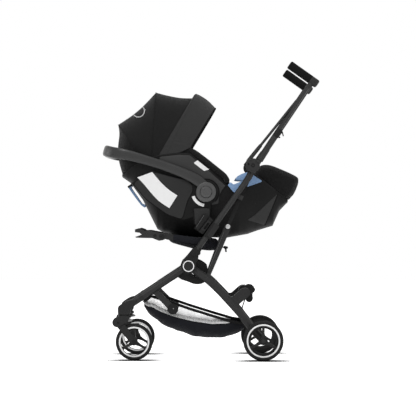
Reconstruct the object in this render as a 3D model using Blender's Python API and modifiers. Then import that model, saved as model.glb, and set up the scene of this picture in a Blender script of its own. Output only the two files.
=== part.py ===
"""Travel system stroller: a folding pushchair frame that carries an infant seat.

Metres, +Z up. The stroller travels along -X, the parent stands at +X, and the
left side is at -Y. The origin lies on the floor under the middle of the object.
"""

import math

import bmesh
import bpy
from mathutils import Matrix, Vector

# Clearances
GAP = 0.0003
RUNNING_GAP = 0.0005

# Tube radii
FRONT_LEG_RADIUS = 0.0125
REAR_LEG_RADIUS = 0.0120
PUSH_TUBE_RADIUS = 0.0100
POLE_RADIUS = 0.0095
SLEEVE_RADIUS = 0.0122
POLE_ROD_RADIUS = 0.0045
ROD_SLEEVE_RADIUS = 0.0060
GRIP_RADIUS = 0.0150
LATCH_BAR_RADIUS = 0.0060
CROSSBAR_RADIUS = 0.0080
REAR_BAR_RADIUS = 0.0110
CABLE_RADIUS = 0.0020

# Joint axes, as X and Z in the side view
HUB = (-0.0740, 0.3290)
HINGE = (0.1495, 0.6790)
SWIVEL_X = -0.2975
SUSPENSION = (-0.3180, 0.1310)
FRONT_AXLE = (-0.2636, 0.0645)
REAR_AXLE = (0.1860, 0.0700)
STRUT_FOOT = (-0.0043, 0.2972)
KNEE = (0.0632, 0.4667)
REAR_BAR = (0.1260, 0.2380)
CARRY_HUB = (-0.0130, 0.5870)

# Frame ends
HUB_SOCKET_TOP = (-0.0440, 0.3860)
PUSH_TUBE_BEND = (0.1380, 0.6410)
PUSH_TUBE_TOP = (0.1455, 0.6575)
FRONT_LEG_FOOT = (-0.2720, 0.1980)
LINK_TOP = (0.1370, 0.6360)
FRONT_CROSSBAR_SHARE = 0.45
SEAT_CROSSBAR = (-0.0400, 0.3745)
BASKET_BOSS = (-0.1290, 0.1780)

# Knuckles and discs
KNUCKLE_RADIUS = 0.0240
HUB_PIN_RADIUS = 0.0060
BADGE_RADIUS = 0.0200
HOUSING_RADIUS = 0.0265
HINGE_DISC_RADIUS = 0.0245
HINGE_PIN_RADIUS = 0.0050
LINK_PIN_RADIUS = 0.0030
STRUT_LUG_RADIUS = 0.0080
KNEE_BORE_RADIUS = 0.0085
KNEE_HEAD_RADIUS = 0.0080
STRUT_WIDTH = 0.0140
LINK_WIDTH = 0.0130
FLAT_BAR = 0.0040

# Wheels
FRONT_WHEEL_RADIUS = 0.0645
FRONT_TYRE_WIDTH = 0.0250
FRONT_RIM_RADIUS = 0.0540
REAR_WHEEL_RADIUS = 0.0700
REAR_TYRE_WIDTH = 0.0270
REAR_RIM_RADIUS = 0.0590
AXLE_RADIUS = 0.0040
AXLE_HEAD_RADIUS = 0.0066
REAR_BOSS_RADIUS = 0.0160
WHEEL_HUB_RADIUS = 0.0115
RIM_WALL = 0.0070
SPOKE_WIDTH = 0.0090
SPOKES = 3
WHEEL_SIDES = 28

# Caster
CASTER_HALF_WIDTH = 0.0220
YOKE_RADIUS = 0.0225
YOKE_TOP = 0.1577
YOKE_DISC = 0.0100
CHEEK_INNER = 0.0190
CHEEK_OUTER = 0.0235
ARM_INNER = 0.0140
ARM_OUTER = 0.0185
ARM_WIDTH = 0.0280
ARM_END_RADIUS = 0.0125
ARM_BARREL_RADIUS = 0.0110
SUSPENSION_PIN_RADIUS = 0.0040

# Handle poles
POLE_LENGTH = 0.3590
POLE_OFFSET = 0.0090
POLE_LEAN = 0.0145
SLEEVE_START = 0.0280
SLEEVE_LENGTH = 0.0470
GRIP_LENGTH = 0.1210
GRIP_BEHIND_POLE = 0.0213
POLE_SLOPE = math.radians(54.66)
HOOK_AT = 0.1480

# Infant seat
SHELL_WALL = 0.0040
LINER_GAP = 0.0015
LINER_THICKNESS = 0.0200
CANOPY_THICKNESS = 0.0025
PANEL_INNER_Y = 0.1575
PANEL_OUTER_Y = 0.1665
CARRY_ARM_Y = 0.1745
CARRY_ARM_THICKNESS = 0.0150
CARRY_DISC_RADIUS = 0.0350
CARRY_HOUSING_RADIUS = 0.0450
BUTTON_RADIUS = 0.0200
BUTTON_TRAVEL = 0.0035
STALK_FOOT_Z = 0.4725
STALK_OUTER_Y = 0.1775
CARRY_PIN_END_Y = 0.1700
BUTTON_OUTER_Y = 0.1860
BELT_HOOK_Y = 0.1526
BELT_HOOK_THICKNESS = 0.0060
HARNESS_WIDTH = 0.0300
HARNESS_THICKNESS = 0.0025
HARNESS_Y = 0.0380
HARNESS_MEETING_Y = 0.0140
HARNESS_LIFT = 0.0058
BUCKLE_LIFT = 0.0070
HARNESS_START = -0.2000
HARNESS_END = -0.0440
HEAD_PAD_LIFT = 0.0203
HEAD_PAD_EDGE = 0.0060
HEAD_PAD_CURL = 0.0120

# Basket
BASKET_HALF_WIDTH = 0.1467
BASKET_WALL = 0.0030

# Side planes, as distances from the middle plane. The front legs stand outside
# the basket, and the rear legs outside the front legs and the seat's stalks.
BASKET_TO_LEG = 0.0118
LEG_SPREAD = 0.0115
LEG_TO_LEG = 0.0010
STALK_TO_REAR_LEG = 0.0065
REAR_LEG_TO_PUSH_TUBE = 0.0160
PUSH_TUBE_TO_POLE = 0.0235
LEG_FOOT_TO_CASTER = 0.0050
REAR_LEG_TO_WHEEL = 0.0030
STRUT_TO_REAR_LEG = 0.0148
RAIL_THICKNESS = 0.0124
FRONT_LEG_Y = BASKET_HALF_WIDTH + BASKET_TO_LEG
FRONT_LEG_FOOT_Y = FRONT_LEG_Y + LEG_SPREAD
REAR_LEG_Y = max(FRONT_LEG_Y + FRONT_LEG_RADIUS + LEG_TO_LEG + REAR_LEG_RADIUS, STALK_OUTER_Y + STALK_TO_REAR_LEG)
PUSH_TUBE_Y = REAR_LEG_Y + REAR_LEG_TO_PUSH_TUBE
POLE_Y = PUSH_TUBE_Y + PUSH_TUBE_TO_POLE
CASTER_Y = FRONT_LEG_FOOT_Y + LEG_FOOT_TO_CASTER
REAR_WHEEL_Y = REAR_LEG_Y + REAR_LEG_RADIUS + REAR_LEG_TO_WHEEL + REAR_TYRE_WIDTH / 2
STRUT_Y = REAR_LEG_Y - STRUT_TO_REAR_LEG
LINK_Y = STRUT_Y + FLAT_BAR + GAP
RAIL_Y = PUSH_TUBE_Y - PUSH_TUBE_RADIUS - GAP - RAIL_THICKNESS / 2
HOUSING_OUTER_Y = PUSH_TUBE_Y + 0.0085

SIDES = (("left", -1), ("right", 1))


def clear_scene():
    for obj in list(bpy.data.objects):
        bpy.data.objects.remove(obj, do_unlink=True)


clear_scene()
parts = bpy.data.collections.new("travel_system_stroller")
cutters = bpy.data.collections.new("cutters")
bpy.context.scene.collection.children.link(parts)
bpy.context.scene.collection.children.link(cutters)


def material(name, colour, roughness, metallic=0.0):
    made = bpy.data.materials.new(name)
    made.use_nodes = True
    shader = made.node_tree.nodes["Principled BSDF"]
    shader.inputs["Base Color"].default_value = (*colour, 1.0)
    shader.inputs["Roughness"].default_value = roughness
    shader.inputs["Metallic"].default_value = metallic
    return made


FRAME_PAINT = material("charcoal_frame_paint", (0.045, 0.045, 0.047), 0.35, 0.6)
BLACK_PLASTIC = material("black_plastic", (0.022, 0.022, 0.024), 0.45)
GREY_PLASTIC = material("grey_plastic", (0.21, 0.21, 0.22), 0.4)
FOAM = material("black_foam", (0.018, 0.018, 0.019), 0.85)
RUBBER = material("tyre_rubber", (0.024, 0.024, 0.025), 0.8)
RIM_PLASTIC = material("rim_plastic", (0.04, 0.04, 0.042), 0.4)
BLACK_FABRIC = material("black_fabric", (0.02, 0.021, 0.024), 0.9)
GREY_FABRIC = material("grey_fabric", (0.06, 0.06, 0.062), 0.9)
BLUE_PLASTIC = material("blue_belt_guide", (0.19, 0.33, 0.58), 0.4)


def place(name, mesh, paint, cutter=False):
    """Links a mesh as an object of the parts, or as a hidden cutter."""
    obj = bpy.data.objects.new(name, mesh)
    if cutter:
        cutters.objects.link(obj)
        obj.hide_render = True
        obj.display_type = "WIRE"
    else:
        parts.objects.link(obj)
        mesh.materials.clear()
        mesh.materials.append(paint)
    return obj


def mesh_of(name, bm):
    bmesh.ops.recalc_face_normals(bm, faces=bm.faces)
    mesh = bpy.data.meshes.new(name)
    bm.to_mesh(mesh)
    bm.free()
    mesh.shade_smooth()
    mesh.set_sharp_from_angle(angle=math.radians(35))
    return mesh


def rod(name, start, end, radius, paint=None, sides=20, end_radius=None, cutter=False):
    """A straight round bar between two points."""
    start, end = Vector(start), Vector(end)
    run = end - start
    bm = bmesh.new()
    turn = Vector((0, 0, 1)).rotation_difference(run).to_matrix().to_4x4()
    bmesh.ops.create_cone(
        bm,
        cap_ends=True,
        segments=sides,
        radius1=radius,
        radius2=radius if end_radius is None else end_radius,
        depth=run.length,
        matrix=Matrix.Translation((start + end) / 2) @ turn,
    )
    return place(name, mesh_of(name, bm), paint, cutter)


def cross_rod(name, at, y0, y1, radius, paint=None, sides=20, cutter=False):
    """A round bar along Y, through a point of the side view."""
    return rod(name, (at[0], y0, at[1]), (at[0], y1, at[1]), radius, paint, sides, None, cutter)


def block(name, centre, size, paint=None, slope=0.0, cutter=False):
    """A box turned about Y, so that its X side climbs at the slope."""
    bm = bmesh.new()
    turn = Matrix.Rotation(-slope, 4, "Y")
    stretch = Matrix.Diagonal((*size, 1.0))
    bmesh.ops.create_cube(bm, size=1.0, matrix=Matrix.Translation(centre) @ turn @ stretch)
    return place(name, mesh_of(name, bm), paint, cutter)


def curve_mesh(obj, name):
    """The closed mesh of a curve object, which is removed."""
    graph = bpy.context.evaluated_depsgraph_get()
    graph.update()
    mesh = bpy.data.meshes.new_from_object(obj.evaluated_get(graph))
    mesh.transform(obj.matrix_world)
    bm = bmesh.new()
    bm.from_mesh(mesh)
    bmesh.ops.remove_doubles(bm, verts=bm.verts, dist=0.00001)
    bpy.data.objects.remove(obj, do_unlink=True)
    bpy.data.meshes.remove(mesh)
    return mesh_of(name, bm)


def tube(name, points, radius, paint=None, resolution=3, cutter=False):
    """A bent round tube through the points, with filled ends."""
    curve = bpy.data.curves.new(name, "CURVE")
    curve.dimensions = "3D"
    curve.bevel_depth = radius
    curve.bevel_resolution = resolution
    curve.use_fill_caps = True
    spline = curve.splines.new("POLY")
    spline.points.add(len(points) - 1)
    for target, point in zip(spline.points, points):
        target.co = (*point, 1.0)
    obj = bpy.data.objects.new(name + "_curve", curve)
    parts.objects.link(obj)
    return place(name, curve_mesh(obj, name), paint, cutter)


def plate(name, outlines, y0, y1, paint=None, cutter=False):
    """A flat piece in the side view, from its outer outline and any holes."""
    curve = bpy.data.curves.new(name, "CURVE")
    curve.dimensions = "2D"
    curve.fill_mode = "BOTH"
    curve.extrude = abs(y1 - y0) / 2
    for outline in outlines:
        spline = curve.splines.new("POLY")
        spline.points.add(len(outline) - 1)
        for target, (x, z) in zip(spline.points, outline):
            target.co = (x, z, 0.0, 1.0)
        spline.use_cyclic_u = True
    obj = bpy.data.objects.new(name + "_curve", curve)
    parts.objects.link(obj)
    obj.matrix_world = Matrix.Translation((0, (y0 + y1) / 2, 0)) @ Matrix.Rotation(math.pi / 2, 4, "X")
    return place(name, curve_mesh(obj, name), paint, cutter)


def boolean(obj, other, operation):
    change = obj.modifiers.new(other.name, "BOOLEAN")
    change.operation = operation
    change.object = other
    change.solver = "EXACT"
    return obj


def cut(obj, *others):
    for other in others:
        boolean(obj, other, "DIFFERENCE")
    return obj


def join(obj, *others):
    for other in others:
        boolean(obj, other, "UNION")
    return obj


def circle(centre, radius, count=24, start=0.0):
    return [
        (
            centre[0] + radius * math.cos(start + 2 * math.pi * i / count),
            centre[1] + radius * math.sin(start + 2 * math.pi * i / count),
        )
        for i in range(count)
    ]


def arc(centre, radius, first, last, count):
    """Points from one angle to another, in degrees."""
    return [
        (
            centre[0] + radius * math.cos(math.radians(first + (last - first) * i / (count - 1))),
            centre[1] + radius * math.sin(math.radians(first + (last - first) * i / (count - 1))),
        )
        for i in range(count)
    ]


def capsule(a, b, radius, end_radius=None, count=8):
    """The outline of a bar with round ends."""
    end_radius = radius if end_radius is None else end_radius
    angle = math.degrees(math.atan2(b[1] - a[1], b[0] - a[0]))
    near = arc(a, radius, angle + 90, angle + 270, count)
    far = arc(b, end_radius, angle - 90, angle + 90, count)
    return near + far


def along(a, b, share):
    return tuple(p + (q - p) * share for p, q in zip(a, b))


def polar(origin, angle, distance, lift=0.0):
    """A point at a distance along a slope, and lifted square to it."""
    return (
        origin[0] + distance * math.cos(angle) - lift * math.sin(angle),
        origin[1] + distance * math.sin(angle) + lift * math.cos(angle),
    )


def slope_of(a, b):
    return math.atan2(b[1] - a[1], b[0] - a[0])


def side_point(at, y):
    return (at[0], y, at[1])


def span(side, inner, outer):
    """A distance range from the middle plane, as Y on one side."""
    return tuple(sorted((side * inner, side * outer)))


# Main frame

FRONT_LEG_SLOPE = slope_of(HUB, FRONT_LEG_FOOT)
PUSH_SLOPE = slope_of(HUB_SOCKET_TOP, PUSH_TUBE_BEND)
LINK_SLOPE = slope_of(KNEE, LINK_TOP)
REAR_LEG_PATH = [
    polar(HUB, math.radians(-34), 0.018),
    (-0.0068, 0.2810),
    (0.0330, 0.2440),
    (0.0705, 0.2038),
    (0.1053, 0.1650),
    (0.1240, 0.1410),
    (0.1540, 0.1030),
    polar(REAR_AXLE, math.radians(135), 0.0100),
]


def front_leg_line(side):
    """The front leg's axis, from its knuckle to its foot."""
    start = polar(HUB, FRONT_LEG_SLOPE, 0.0165)
    return side_point(start, side * FRONT_LEG_Y), side_point(FRONT_LEG_FOOT, side * FRONT_LEG_FOOT_Y)


def make_push_tube(word, side):
    path = [
        side_point(p, side * PUSH_TUBE_Y)
        for p in (polar(HUB_SOCKET_TOP, PUSH_SLOPE, GAP), PUSH_TUBE_BEND, PUSH_TUBE_TOP)
    ]
    obj = tube("push_tube_" + word, path, PUSH_TUBE_RADIUS, FRAME_PAINT, resolution=2)
    disc = plate(
        "push_disc_" + word,
        [circle(HINGE, HINGE_DISC_RADIUS, 24), circle(HINGE, HINGE_PIN_RADIUS + GAP, 16)],
        *span(side, PUSH_TUBE_Y - 0.0035, POLE_Y - 0.0130),
        cutter=True,
    )
    guide_at = along(LINK_TOP, KNEE, 0.40)
    tube_at = polar(guide_at, LINK_SLOPE, 0.0, 0.0165)
    middle = along(guide_at, tube_at, 0.45)
    inner = LINK_Y - FLAT_BAR / 2 - 0.0040
    outer = PUSH_TUBE_Y - 0.0030
    guide = block(
        "link_guide_" + word,
        (middle[0], side * (inner + outer) / 2, middle[1]),
        (0.0160, outer - inner, 0.0320),
        slope=LINK_SLOPE,
        cutter=True,
    )
    slot = block(
        "link_slot_" + word,
        (guide_at[0], side * LINK_Y, guide_at[1]),
        (0.0400, FLAT_BAR + 2 * GAP, LINK_WIDTH + 2 * GAP),
        slope=LINK_SLOPE,
        cutter=True,
    )
    return cut(join(obj, disc, guide), slot)


HOUSING_OUTLINE = (
    [(-0.0320, 0.3960), (-0.0530, 0.3950), (-0.0800, 0.3612)]
    + arc(HUB, HOUSING_RADIUS, 135, 382, 16)
    + [(-0.0400, 0.3560), (-0.0385, 0.3700), (-0.0277, 0.3867)]
)
LATCH_OUTLINE = [
    (-0.0980, 0.3450),
    (-0.1057, 0.3215),
    (-0.1167, 0.2932),
    (-0.0989, 0.2806),
    (-0.0747, 0.2726),
    (-0.0586, 0.2660),
    (-0.0425, 0.2638),
    (-0.0276, 0.2660),
    (-0.0172, 0.2716),
    (-0.0088, 0.2882),
    (-0.0060, 0.3084),
    (-0.0088, 0.3285),
    (-0.0319, 0.3450),
    (-0.0620, 0.3520),
    (-0.0860, 0.3520),
]
LATCH_WINDOW = [
    (-0.0680, 0.3010),
    (-0.0620, 0.2930),
    (-0.0520, 0.2885),
    (-0.0440, 0.2925),
    (-0.0500, 0.3000),
    (-0.0600, 0.3045),
]
LATCH_BAR = (-0.0260, 0.2960)


def make_hub_housing(word, side):
    plate_inner = REAR_LEG_Y + REAR_LEG_RADIUS + 0.0008
    obj = plate(
        "hub_housing_" + word,
        [HOUSING_OUTLINE],
        *span(side, plate_inner, HOUSING_OUTER_Y),
        BLACK_PLASTIC,
    )
    badge = cross_rod(
        "badge_" + word,
        HUB,
        side * (HOUSING_OUTER_Y - 0.0045),
        side * (HOUSING_OUTER_Y + 0.0025),
        BADGE_RADIUS,
        sides=24,
        cutter=True,
    )
    pin = cross_rod(
        "hub_pin_" + word,
        HUB,
        side * (latch_plate()[0] - 0.0015),
        side * (HOUSING_OUTER_Y - 0.0035),
        HUB_PIN_RADIUS,
        sides=14,
        cutter=True,
    )
    socket = rod(
        "push_socket_" + word,
        side_point(polar(HUB_SOCKET_TOP, PUSH_SLOPE, -0.0260), side * PUSH_TUBE_Y),
        side_point(HUB_SOCKET_TOP, side * PUSH_TUBE_Y),
        PUSH_TUBE_RADIUS + 0.0025,
        sides=16,
        cutter=True,
    )
    above = cut(obj, push_socket_clearance(word, side))
    return join(above, badge, pin, socket)


def push_socket_clearance(word, side):
    """The space of the push tube above its socket."""
    return rod(
        "push_tube_space_" + word,
        side_point(HUB_SOCKET_TOP, side * PUSH_TUBE_Y),
        side_point(polar(HUB_SOCKET_TOP, PUSH_SLOPE, 0.0500), side * PUSH_TUBE_Y),
        PUSH_TUBE_RADIUS + GAP,
        cutter=True,
    )


def latch_plate():
    """The latch plate's inner and outer distance, just inside the front leg's knuckle."""
    outer = FRONT_LEG_Y - FRONT_LEG_RADIUS - 0.0011
    return outer - 0.0140, outer


def make_fold_latch():
    """The latch plates on both hub pins, with the bar that joins them."""
    inner, outer = latch_plate()
    obj = cross_rod("fold_latch", LATCH_BAR, -inner - 0.0040, inner + 0.0040, LATCH_BAR_RADIUS, BLACK_PLASTIC)
    for word, side in SIDES:
        bore = circle(HUB, HUB_PIN_RADIUS + GAP, 14)
        half = plate(
            "latch_plate_" + word,
            [LATCH_OUTLINE, LATCH_WINDOW, bore],
            *span(side, inner, outer),
            cutter=True,
        )
        join(obj, half)
    return obj


def make_front_leg(word, side):
    start, end = front_leg_line(side)
    obj = rod("front_leg_" + word, start, end, FRONT_LEG_RADIUS, FRAME_PAINT)
    half = FRONT_LEG_RADIUS + 0.0005
    knuckle = plate(
        "front_knuckle_" + word,
        [circle(HUB, KNUCKLE_RADIUS, 22), circle(HUB, HUB_PIN_RADIUS + GAP, 14)],
        *span(side, FRONT_LEG_Y - half, FRONT_LEG_Y + half),
        cutter=True,
    )
    root = along(HUB, FRONT_LEG_FOOT, 0.625)
    y0, y1 = span(side, BASKET_HALF_WIDTH + GAP, FRONT_LEG_Y + (FRONT_LEG_FOOT_Y - FRONT_LEG_Y) * 0.56 + 0.0050)
    bracket = plate("basket_bracket_" + word, [capsule(root, BASKET_BOSS, 0.0105, 0.0112, 8)], y0, y1, cutter=True)
    boss = plate("basket_boss_" + word, [circle(BASKET_BOSS, 0.0190, 24)], y0 + 0.0002, y1 - 0.0002, cutter=True)
    return join(obj, knuckle, bracket, boss)


def make_front_crossbar():
    share = FRONT_CROSSBAR_SHARE
    at = along(HUB, FRONT_LEG_FOOT, share)
    y = FRONT_LEG_Y + (FRONT_LEG_FOOT_Y - FRONT_LEG_Y) * share
    end = y - math.sqrt(FRONT_LEG_RADIUS**2 - CROSSBAR_RADIUS**2) + 0.0030
    obj = cross_rod("front_crossbar", at, -end, end, CROSSBAR_RADIUS, FRAME_PAINT)
    for word, side in SIDES:
        start, foot = front_leg_line(side)
        cut(obj, rod("leg_saddle_" + word, start, foot, FRONT_LEG_RADIUS + GAP, cutter=True))
    return obj


def make_seat_crossbar():
    end = PUSH_TUBE_Y - math.sqrt((PUSH_TUBE_RADIUS + 0.0025) ** 2 - CROSSBAR_RADIUS**2) + 0.0020
    obj = cross_rod("seat_crossbar", SEAT_CROSSBAR, -end, end, CROSSBAR_RADIUS, FRAME_PAINT)
    for word, side in SIDES:
        saddle = rod(
            "seat_bar_saddle_" + word,
            side_point(polar(HUB_SOCKET_TOP, PUSH_SLOPE, -0.0400), side * PUSH_TUBE_Y),
            side_point(polar(HUB_SOCKET_TOP, PUSH_SLOPE, 0.0400), side * PUSH_TUBE_Y),
            PUSH_TUBE_RADIUS + 0.0025 + GAP,
            cutter=True,
        )
        cut(obj, saddle)
    return obj


CASTER_OUTLINE = [
    (-0.3150, YOKE_TOP + RUNNING_GAP),
    (-0.3199, 0.1640),
    (-0.3203, 0.1828),
    (-0.3170, 0.1900),
    (-0.2961, 0.2045),
    (-0.2850, 0.2095),
    (-0.2700, 0.2120),
    (-0.2540, 0.2080),
    (-0.2560, 0.1960),
    (-0.2730, 0.1839),
    (-0.2762, 0.1667),
    (-0.2800, YOKE_TOP + RUNNING_GAP),
]


def make_caster_housing(word, side):
    y0, y1 = span(side, CASTER_Y - CASTER_HALF_WIDTH, CASTER_Y + CASTER_HALF_WIDTH)
    obj = plate("caster_housing_" + word, [CASTER_OUTLINE], y0, y1, BLACK_PLASTIC)
    start, end = front_leg_line(side)
    past = Vector(end) + (Vector(end) - Vector(start)).normalized() * GAP
    socket = rod("leg_socket_" + word, start, past, FRONT_LEG_RADIUS + GAP, cutter=True)
    return cut(obj, socket)


# Seat support on the frame

RAIL_OUTLINE = [
    (-0.2608, 0.4568),
    (-0.2601, 0.4470),
    (-0.2444, 0.4450),
    (-0.2372, 0.4390),
    (-0.2473, 0.4345),
    (-0.2591, 0.4312),
    (-0.2577, 0.4280),
    (-0.2360, 0.4270),
    (-0.2002, 0.4264),
    (-0.1769, 0.4170),
    (-0.1629, 0.4194),
    (-0.1549, 0.4230),
    (-0.1486, 0.4211),
    (-0.1239, 0.4180),
    (-0.0600, 0.4080),
    (-0.0200, 0.4020),
    (-0.0120, 0.4130),
    (-0.0180, 0.4230),
    (-0.0600, 0.4300),
    (-0.1270, 0.4400),
    (-0.1783, 0.4467),
    (-0.2110, 0.4529),
    (-0.2281, 0.4522),
    (-0.2328, 0.4560),
    (-0.2469, 0.4607),
]


def make_seat_rail(word, side):
    outer = PUSH_TUBE_Y - PUSH_TUBE_RADIUS - GAP
    inner = outer - RAIL_THICKNESS
    return plate("seat_rail_" + word, [RAIL_OUTLINE], *span(side, inner, outer), BLACK_PLASTIC)


def make_adapter(word, side):
    """A clamp on the push tube, with the ledge and the cheek that take the seat's stalk."""
    rise = STALK_FOOT_Z - 0.0190 - HUB_SOCKET_TOP[1]
    tube_at = polar(HUB_SOCKET_TOP, PUSH_SLOPE, rise / math.sin(PUSH_SLOPE))
    clamp_at = polar(tube_at, PUSH_SLOPE, 0.0, -0.0030)
    obj = block(
        "adapter_" + word,
        (clamp_at[0], side * PUSH_TUBE_Y, clamp_at[1]),
        (0.0560, 0.0250, 0.0270),
        BLACK_PLASTIC,
        slope=PUSH_SLOPE,
    )
    outline = [
        (-0.0545, STALK_FOOT_Z - 0.0122),
        (-0.0211, STALK_FOOT_Z + 0.0389),
        polar(clamp_at, PUSH_SLOPE, 0.0364, 0.0293),
        polar(clamp_at, PUSH_SLOPE, 0.0307, 0.0055),
        polar(clamp_at, PUSH_SLOPE, -0.0293, 0.0198),
    ]
    cheek = plate(
        "adapter_cheek_" + word,
        [outline],
        *span(side, STALK_OUTER_Y + RUNNING_GAP, PUSH_TUBE_Y - 0.0111),
        cutter=True,
    )
    ledge = block(
        "adapter_ledge_" + word,
        (-0.0270, side * (STALK_OUTER_Y - 0.0065), STALK_FOOT_Z - GAP - 0.0050),
        (0.0420, 0.0220, 0.0100),
        cutter=True,
    )
    bore = rod(
        "adapter_bore_" + word,
        side_point(HUB_SOCKET_TOP, side * PUSH_TUBE_Y),
        side_point(PUSH_TUBE_BEND, side * PUSH_TUBE_Y),
        PUSH_TUBE_RADIUS + GAP,
        cutter=True,
    )
    return cut(join(obj, cheek, ledge), bore)


def loft(name, rows, paint, thickness=0.0, closed=False, caps=False, cutter=False):
    """Quads between rows of points. A sheet gets its thickness on its inner side."""
    bm = bmesh.new()
    grid = [[bm.verts.new(p) for p in row] for row in rows]
    last = len(grid[0]) if closed else len(grid[0]) - 1
    for one, two in zip(grid, grid[1:]):
        for i in range(last):
            j = (i + 1) % len(one)
            bm.faces.new((one[i], one[j], two[j], two[i]))
    if caps:
        bm.faces.new(grid[0])
        bm.faces.new(list(reversed(grid[-1])))
    bmesh.ops.remove_doubles(bm, verts=bm.verts, dist=0.00001)
    bmesh.ops.recalc_face_normals(bm, faces=bm.faces)
    centre = sum((v.co for v in bm.verts), Vector()) / len(bm.verts)
    facing = sum((f.normal.dot(f.calc_center_median() - centre) * f.calc_area() for f in bm.faces))
    if facing < 0:
        bmesh.ops.reverse_faces(bm, faces=bm.faces)
    mesh = bpy.data.meshes.new(name)
    bm.to_mesh(mesh)
    bm.free()
    mesh.shade_smooth()
    mesh.set_sharp_from_angle(angle=math.radians(50))
    obj = place(name, mesh, paint, cutter)
    if thickness:
        wall = obj.modifiers.new("wall", "SOLIDIFY")
        wall.thickness = thickness
        wall.offset = -1
        wall.use_even_offset = True
    return obj


def between(table, x):
    """The value of a table of (position, value) at a position."""
    if x <= table[0][0]:
        return table[0][1]
    for (x0, v0), (x1, v1) in zip(table, table[1:]):
        if x <= x1:
            return v0 + (v1 - v0) * (x - x0) / (x1 - x0)
    return table[-1][1]


def lifted(table, x, offset):
    """The height over a table's line of a surface at an even offset above it."""
    steps = [offset * (i / 8 - 1) for i in range(17)]
    return max(between(table, x + step) + math.sqrt(max(0.0, offset**2 - step**2)) for step in steps)


def trough_section(x, half_width, rim, bottom, steps=12, squareness=0.62):
    """A U-shaped section across the object, from rim to rim."""
    row = []
    for i in range(steps + 1):
        angle = math.pi * i / steps
        across = math.copysign(abs(math.cos(angle)) ** squareness, -math.cos(angle))
        depth = math.sin(angle) ** squareness if 0 < i < steps else 0.0
        row.append((x, across * half_width, rim - (rim - bottom) * depth))
    return row


SEAT_BASE_TOP = [(-0.152, 0.4280), (-0.100, 0.4200), (-0.050, 0.4130), (0.000, 0.4080), (0.045, 0.4060)]
SEAT_BASE_BOTTOM = [(-0.152, 0.4180), (-0.100, 0.4050), (-0.050, 0.3925), (0.000, 0.3865), (0.045, 0.3850)]


def make_seat_base():
    """The fabric seat that the frame keeps under the infant seat, with its crown and drawn-in ends."""
    inner = RAIL_Y - RAIL_THICKNESS / 2 - RUNNING_GAP
    strut_side = STRUT_Y - FLAT_BAR / 2 - 0.0050
    half_widths = [(-0.152, inner), (-0.045, inner), (-0.015, strut_side), (0.045, strut_side)]
    rows = []
    for x in (-0.152, -0.142, -0.115, -0.090, -0.060, -0.045, -0.030, -0.015, 0.005, 0.025, 0.040, 0.045):
        top, bottom = between(SEAT_BASE_TOP, x), between(SEAT_BASE_BOTTOM, x)
        pinch = 0.55 if x in (-0.152, 0.045) else 1.0
        middle, half = (top + bottom) / 2, (top - bottom) / 2 * pinch
        row = []
        for i in range(16):
            angle = 2 * math.pi * i / 16
            across = math.copysign(abs(math.cos(angle)) ** 0.35, math.cos(angle))
            up = math.copysign(abs(math.sin(angle)) ** 0.6, math.sin(angle))
            row.append((x, between(half_widths, x) * across, middle + half * up))
        rows.append(row)
    return loft("seat_base", rows, BLACK_FABRIC, closed=True, caps=True)


BASKET_RIM = [
    (-0.230, 0.2040),
    (-0.205, 0.2230),
    (-0.143, 0.2040),
    (-0.071, 0.1790),
    (0.009, 0.1540),
    (0.080, 0.1330),
    (0.104, 0.1290),
    (0.120, 0.1300),
]
BASKET_FLOOR = [
    (-0.230, 0.1830),
    (-0.215, 0.1570),
    (-0.171, 0.1235),
    (-0.117, 0.0990),
    (-0.058, 0.0800),
    (0.005, 0.0722),
    (0.050, 0.0760),
    (0.104, 0.0915),
    (0.120, 0.1030),
]
BASKET_STATIONS = (
    -0.230,
    -0.222,
    -0.205,
    -0.171,
    -0.143,
    -0.117,
    -0.085,
    -0.058,
    -0.025,
    0.005,
    0.030,
    0.055,
    0.080,
    0.104,
    0.120,
)


def make_basket():
    """The sagging basket between the legs, open at its top."""
    rows = [
        trough_section(x, BASKET_HALF_WIDTH, between(BASKET_RIM, x), between(BASKET_FLOOR, x), 12, 0.5)
        for x in BASKET_STATIONS
    ]
    return loft("storage_basket", rows, BLACK_FABRIC, BASKET_WALL, caps=True)


# Rear legs, brake and fold linkage


def make_rear_leg(word, side):
    path = [side_point(p, side * REAR_LEG_Y) for p in REAR_LEG_PATH]
    obj = tube("rear_leg_" + word, path, REAR_LEG_RADIUS, FRAME_PAINT, resolution=2)
    knuckle = plate(
        "rear_knuckle_" + word,
        [circle(HUB, KNUCKLE_RADIUS, 22), circle(HUB, HUB_PIN_RADIUS + GAP, 14)],
        *span(side, FRONT_LEG_Y + FRONT_LEG_RADIUS + 0.0010, REAR_LEG_Y + REAR_LEG_RADIUS + 0.0004),
        cutter=True,
    )
    lug = cross_rod(
        "strut_lug_" + word,
        STRUT_FOOT,
        side * (STRUT_Y + 0.0038),
        side * (REAR_LEG_Y + 0.0040),
        STRUT_LUG_RADIUS,
        sides=12,
        cutter=True,
    )
    strut_pin = cross_rod(
        "strut_pin_" + word,
        STRUT_FOOT,
        side * (STRUT_Y - 0.0032),
        side * (REAR_LEG_Y - 0.0040),
        LINK_PIN_RADIUS,
        sides=12,
        cutter=True,
    )
    wheel_inner = REAR_WHEEL_Y - REAR_TYRE_WIDTH / 2
    boss = cross_rod(
        "rear_boss_" + word,
        REAR_AXLE,
        side * (REAR_LEG_Y - 0.0115),
        side * (wheel_inner + 0.0012),
        REAR_BOSS_RADIUS,
        sides=16,
        cutter=True,
    )
    axle = cross_rod(
        "rear_axle_" + word,
        REAR_AXLE,
        side * (REAR_LEG_Y + 0.0060),
        side * (REAR_WHEEL_Y + 0.0130),
        AXLE_RADIUS,
        sides=16,
        cutter=True,
    )
    head = cross_rod(
        "rear_axle_head_" + word,
        REAR_AXLE,
        side * (REAR_WHEEL_Y + 0.0122),
        side * (REAR_WHEEL_Y + 0.0145),
        AXLE_HEAD_RADIUS,
        sides=16,
        cutter=True,
    )
    return join(obj, knuckle, lug, strut_pin, boss, axle, head)


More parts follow.
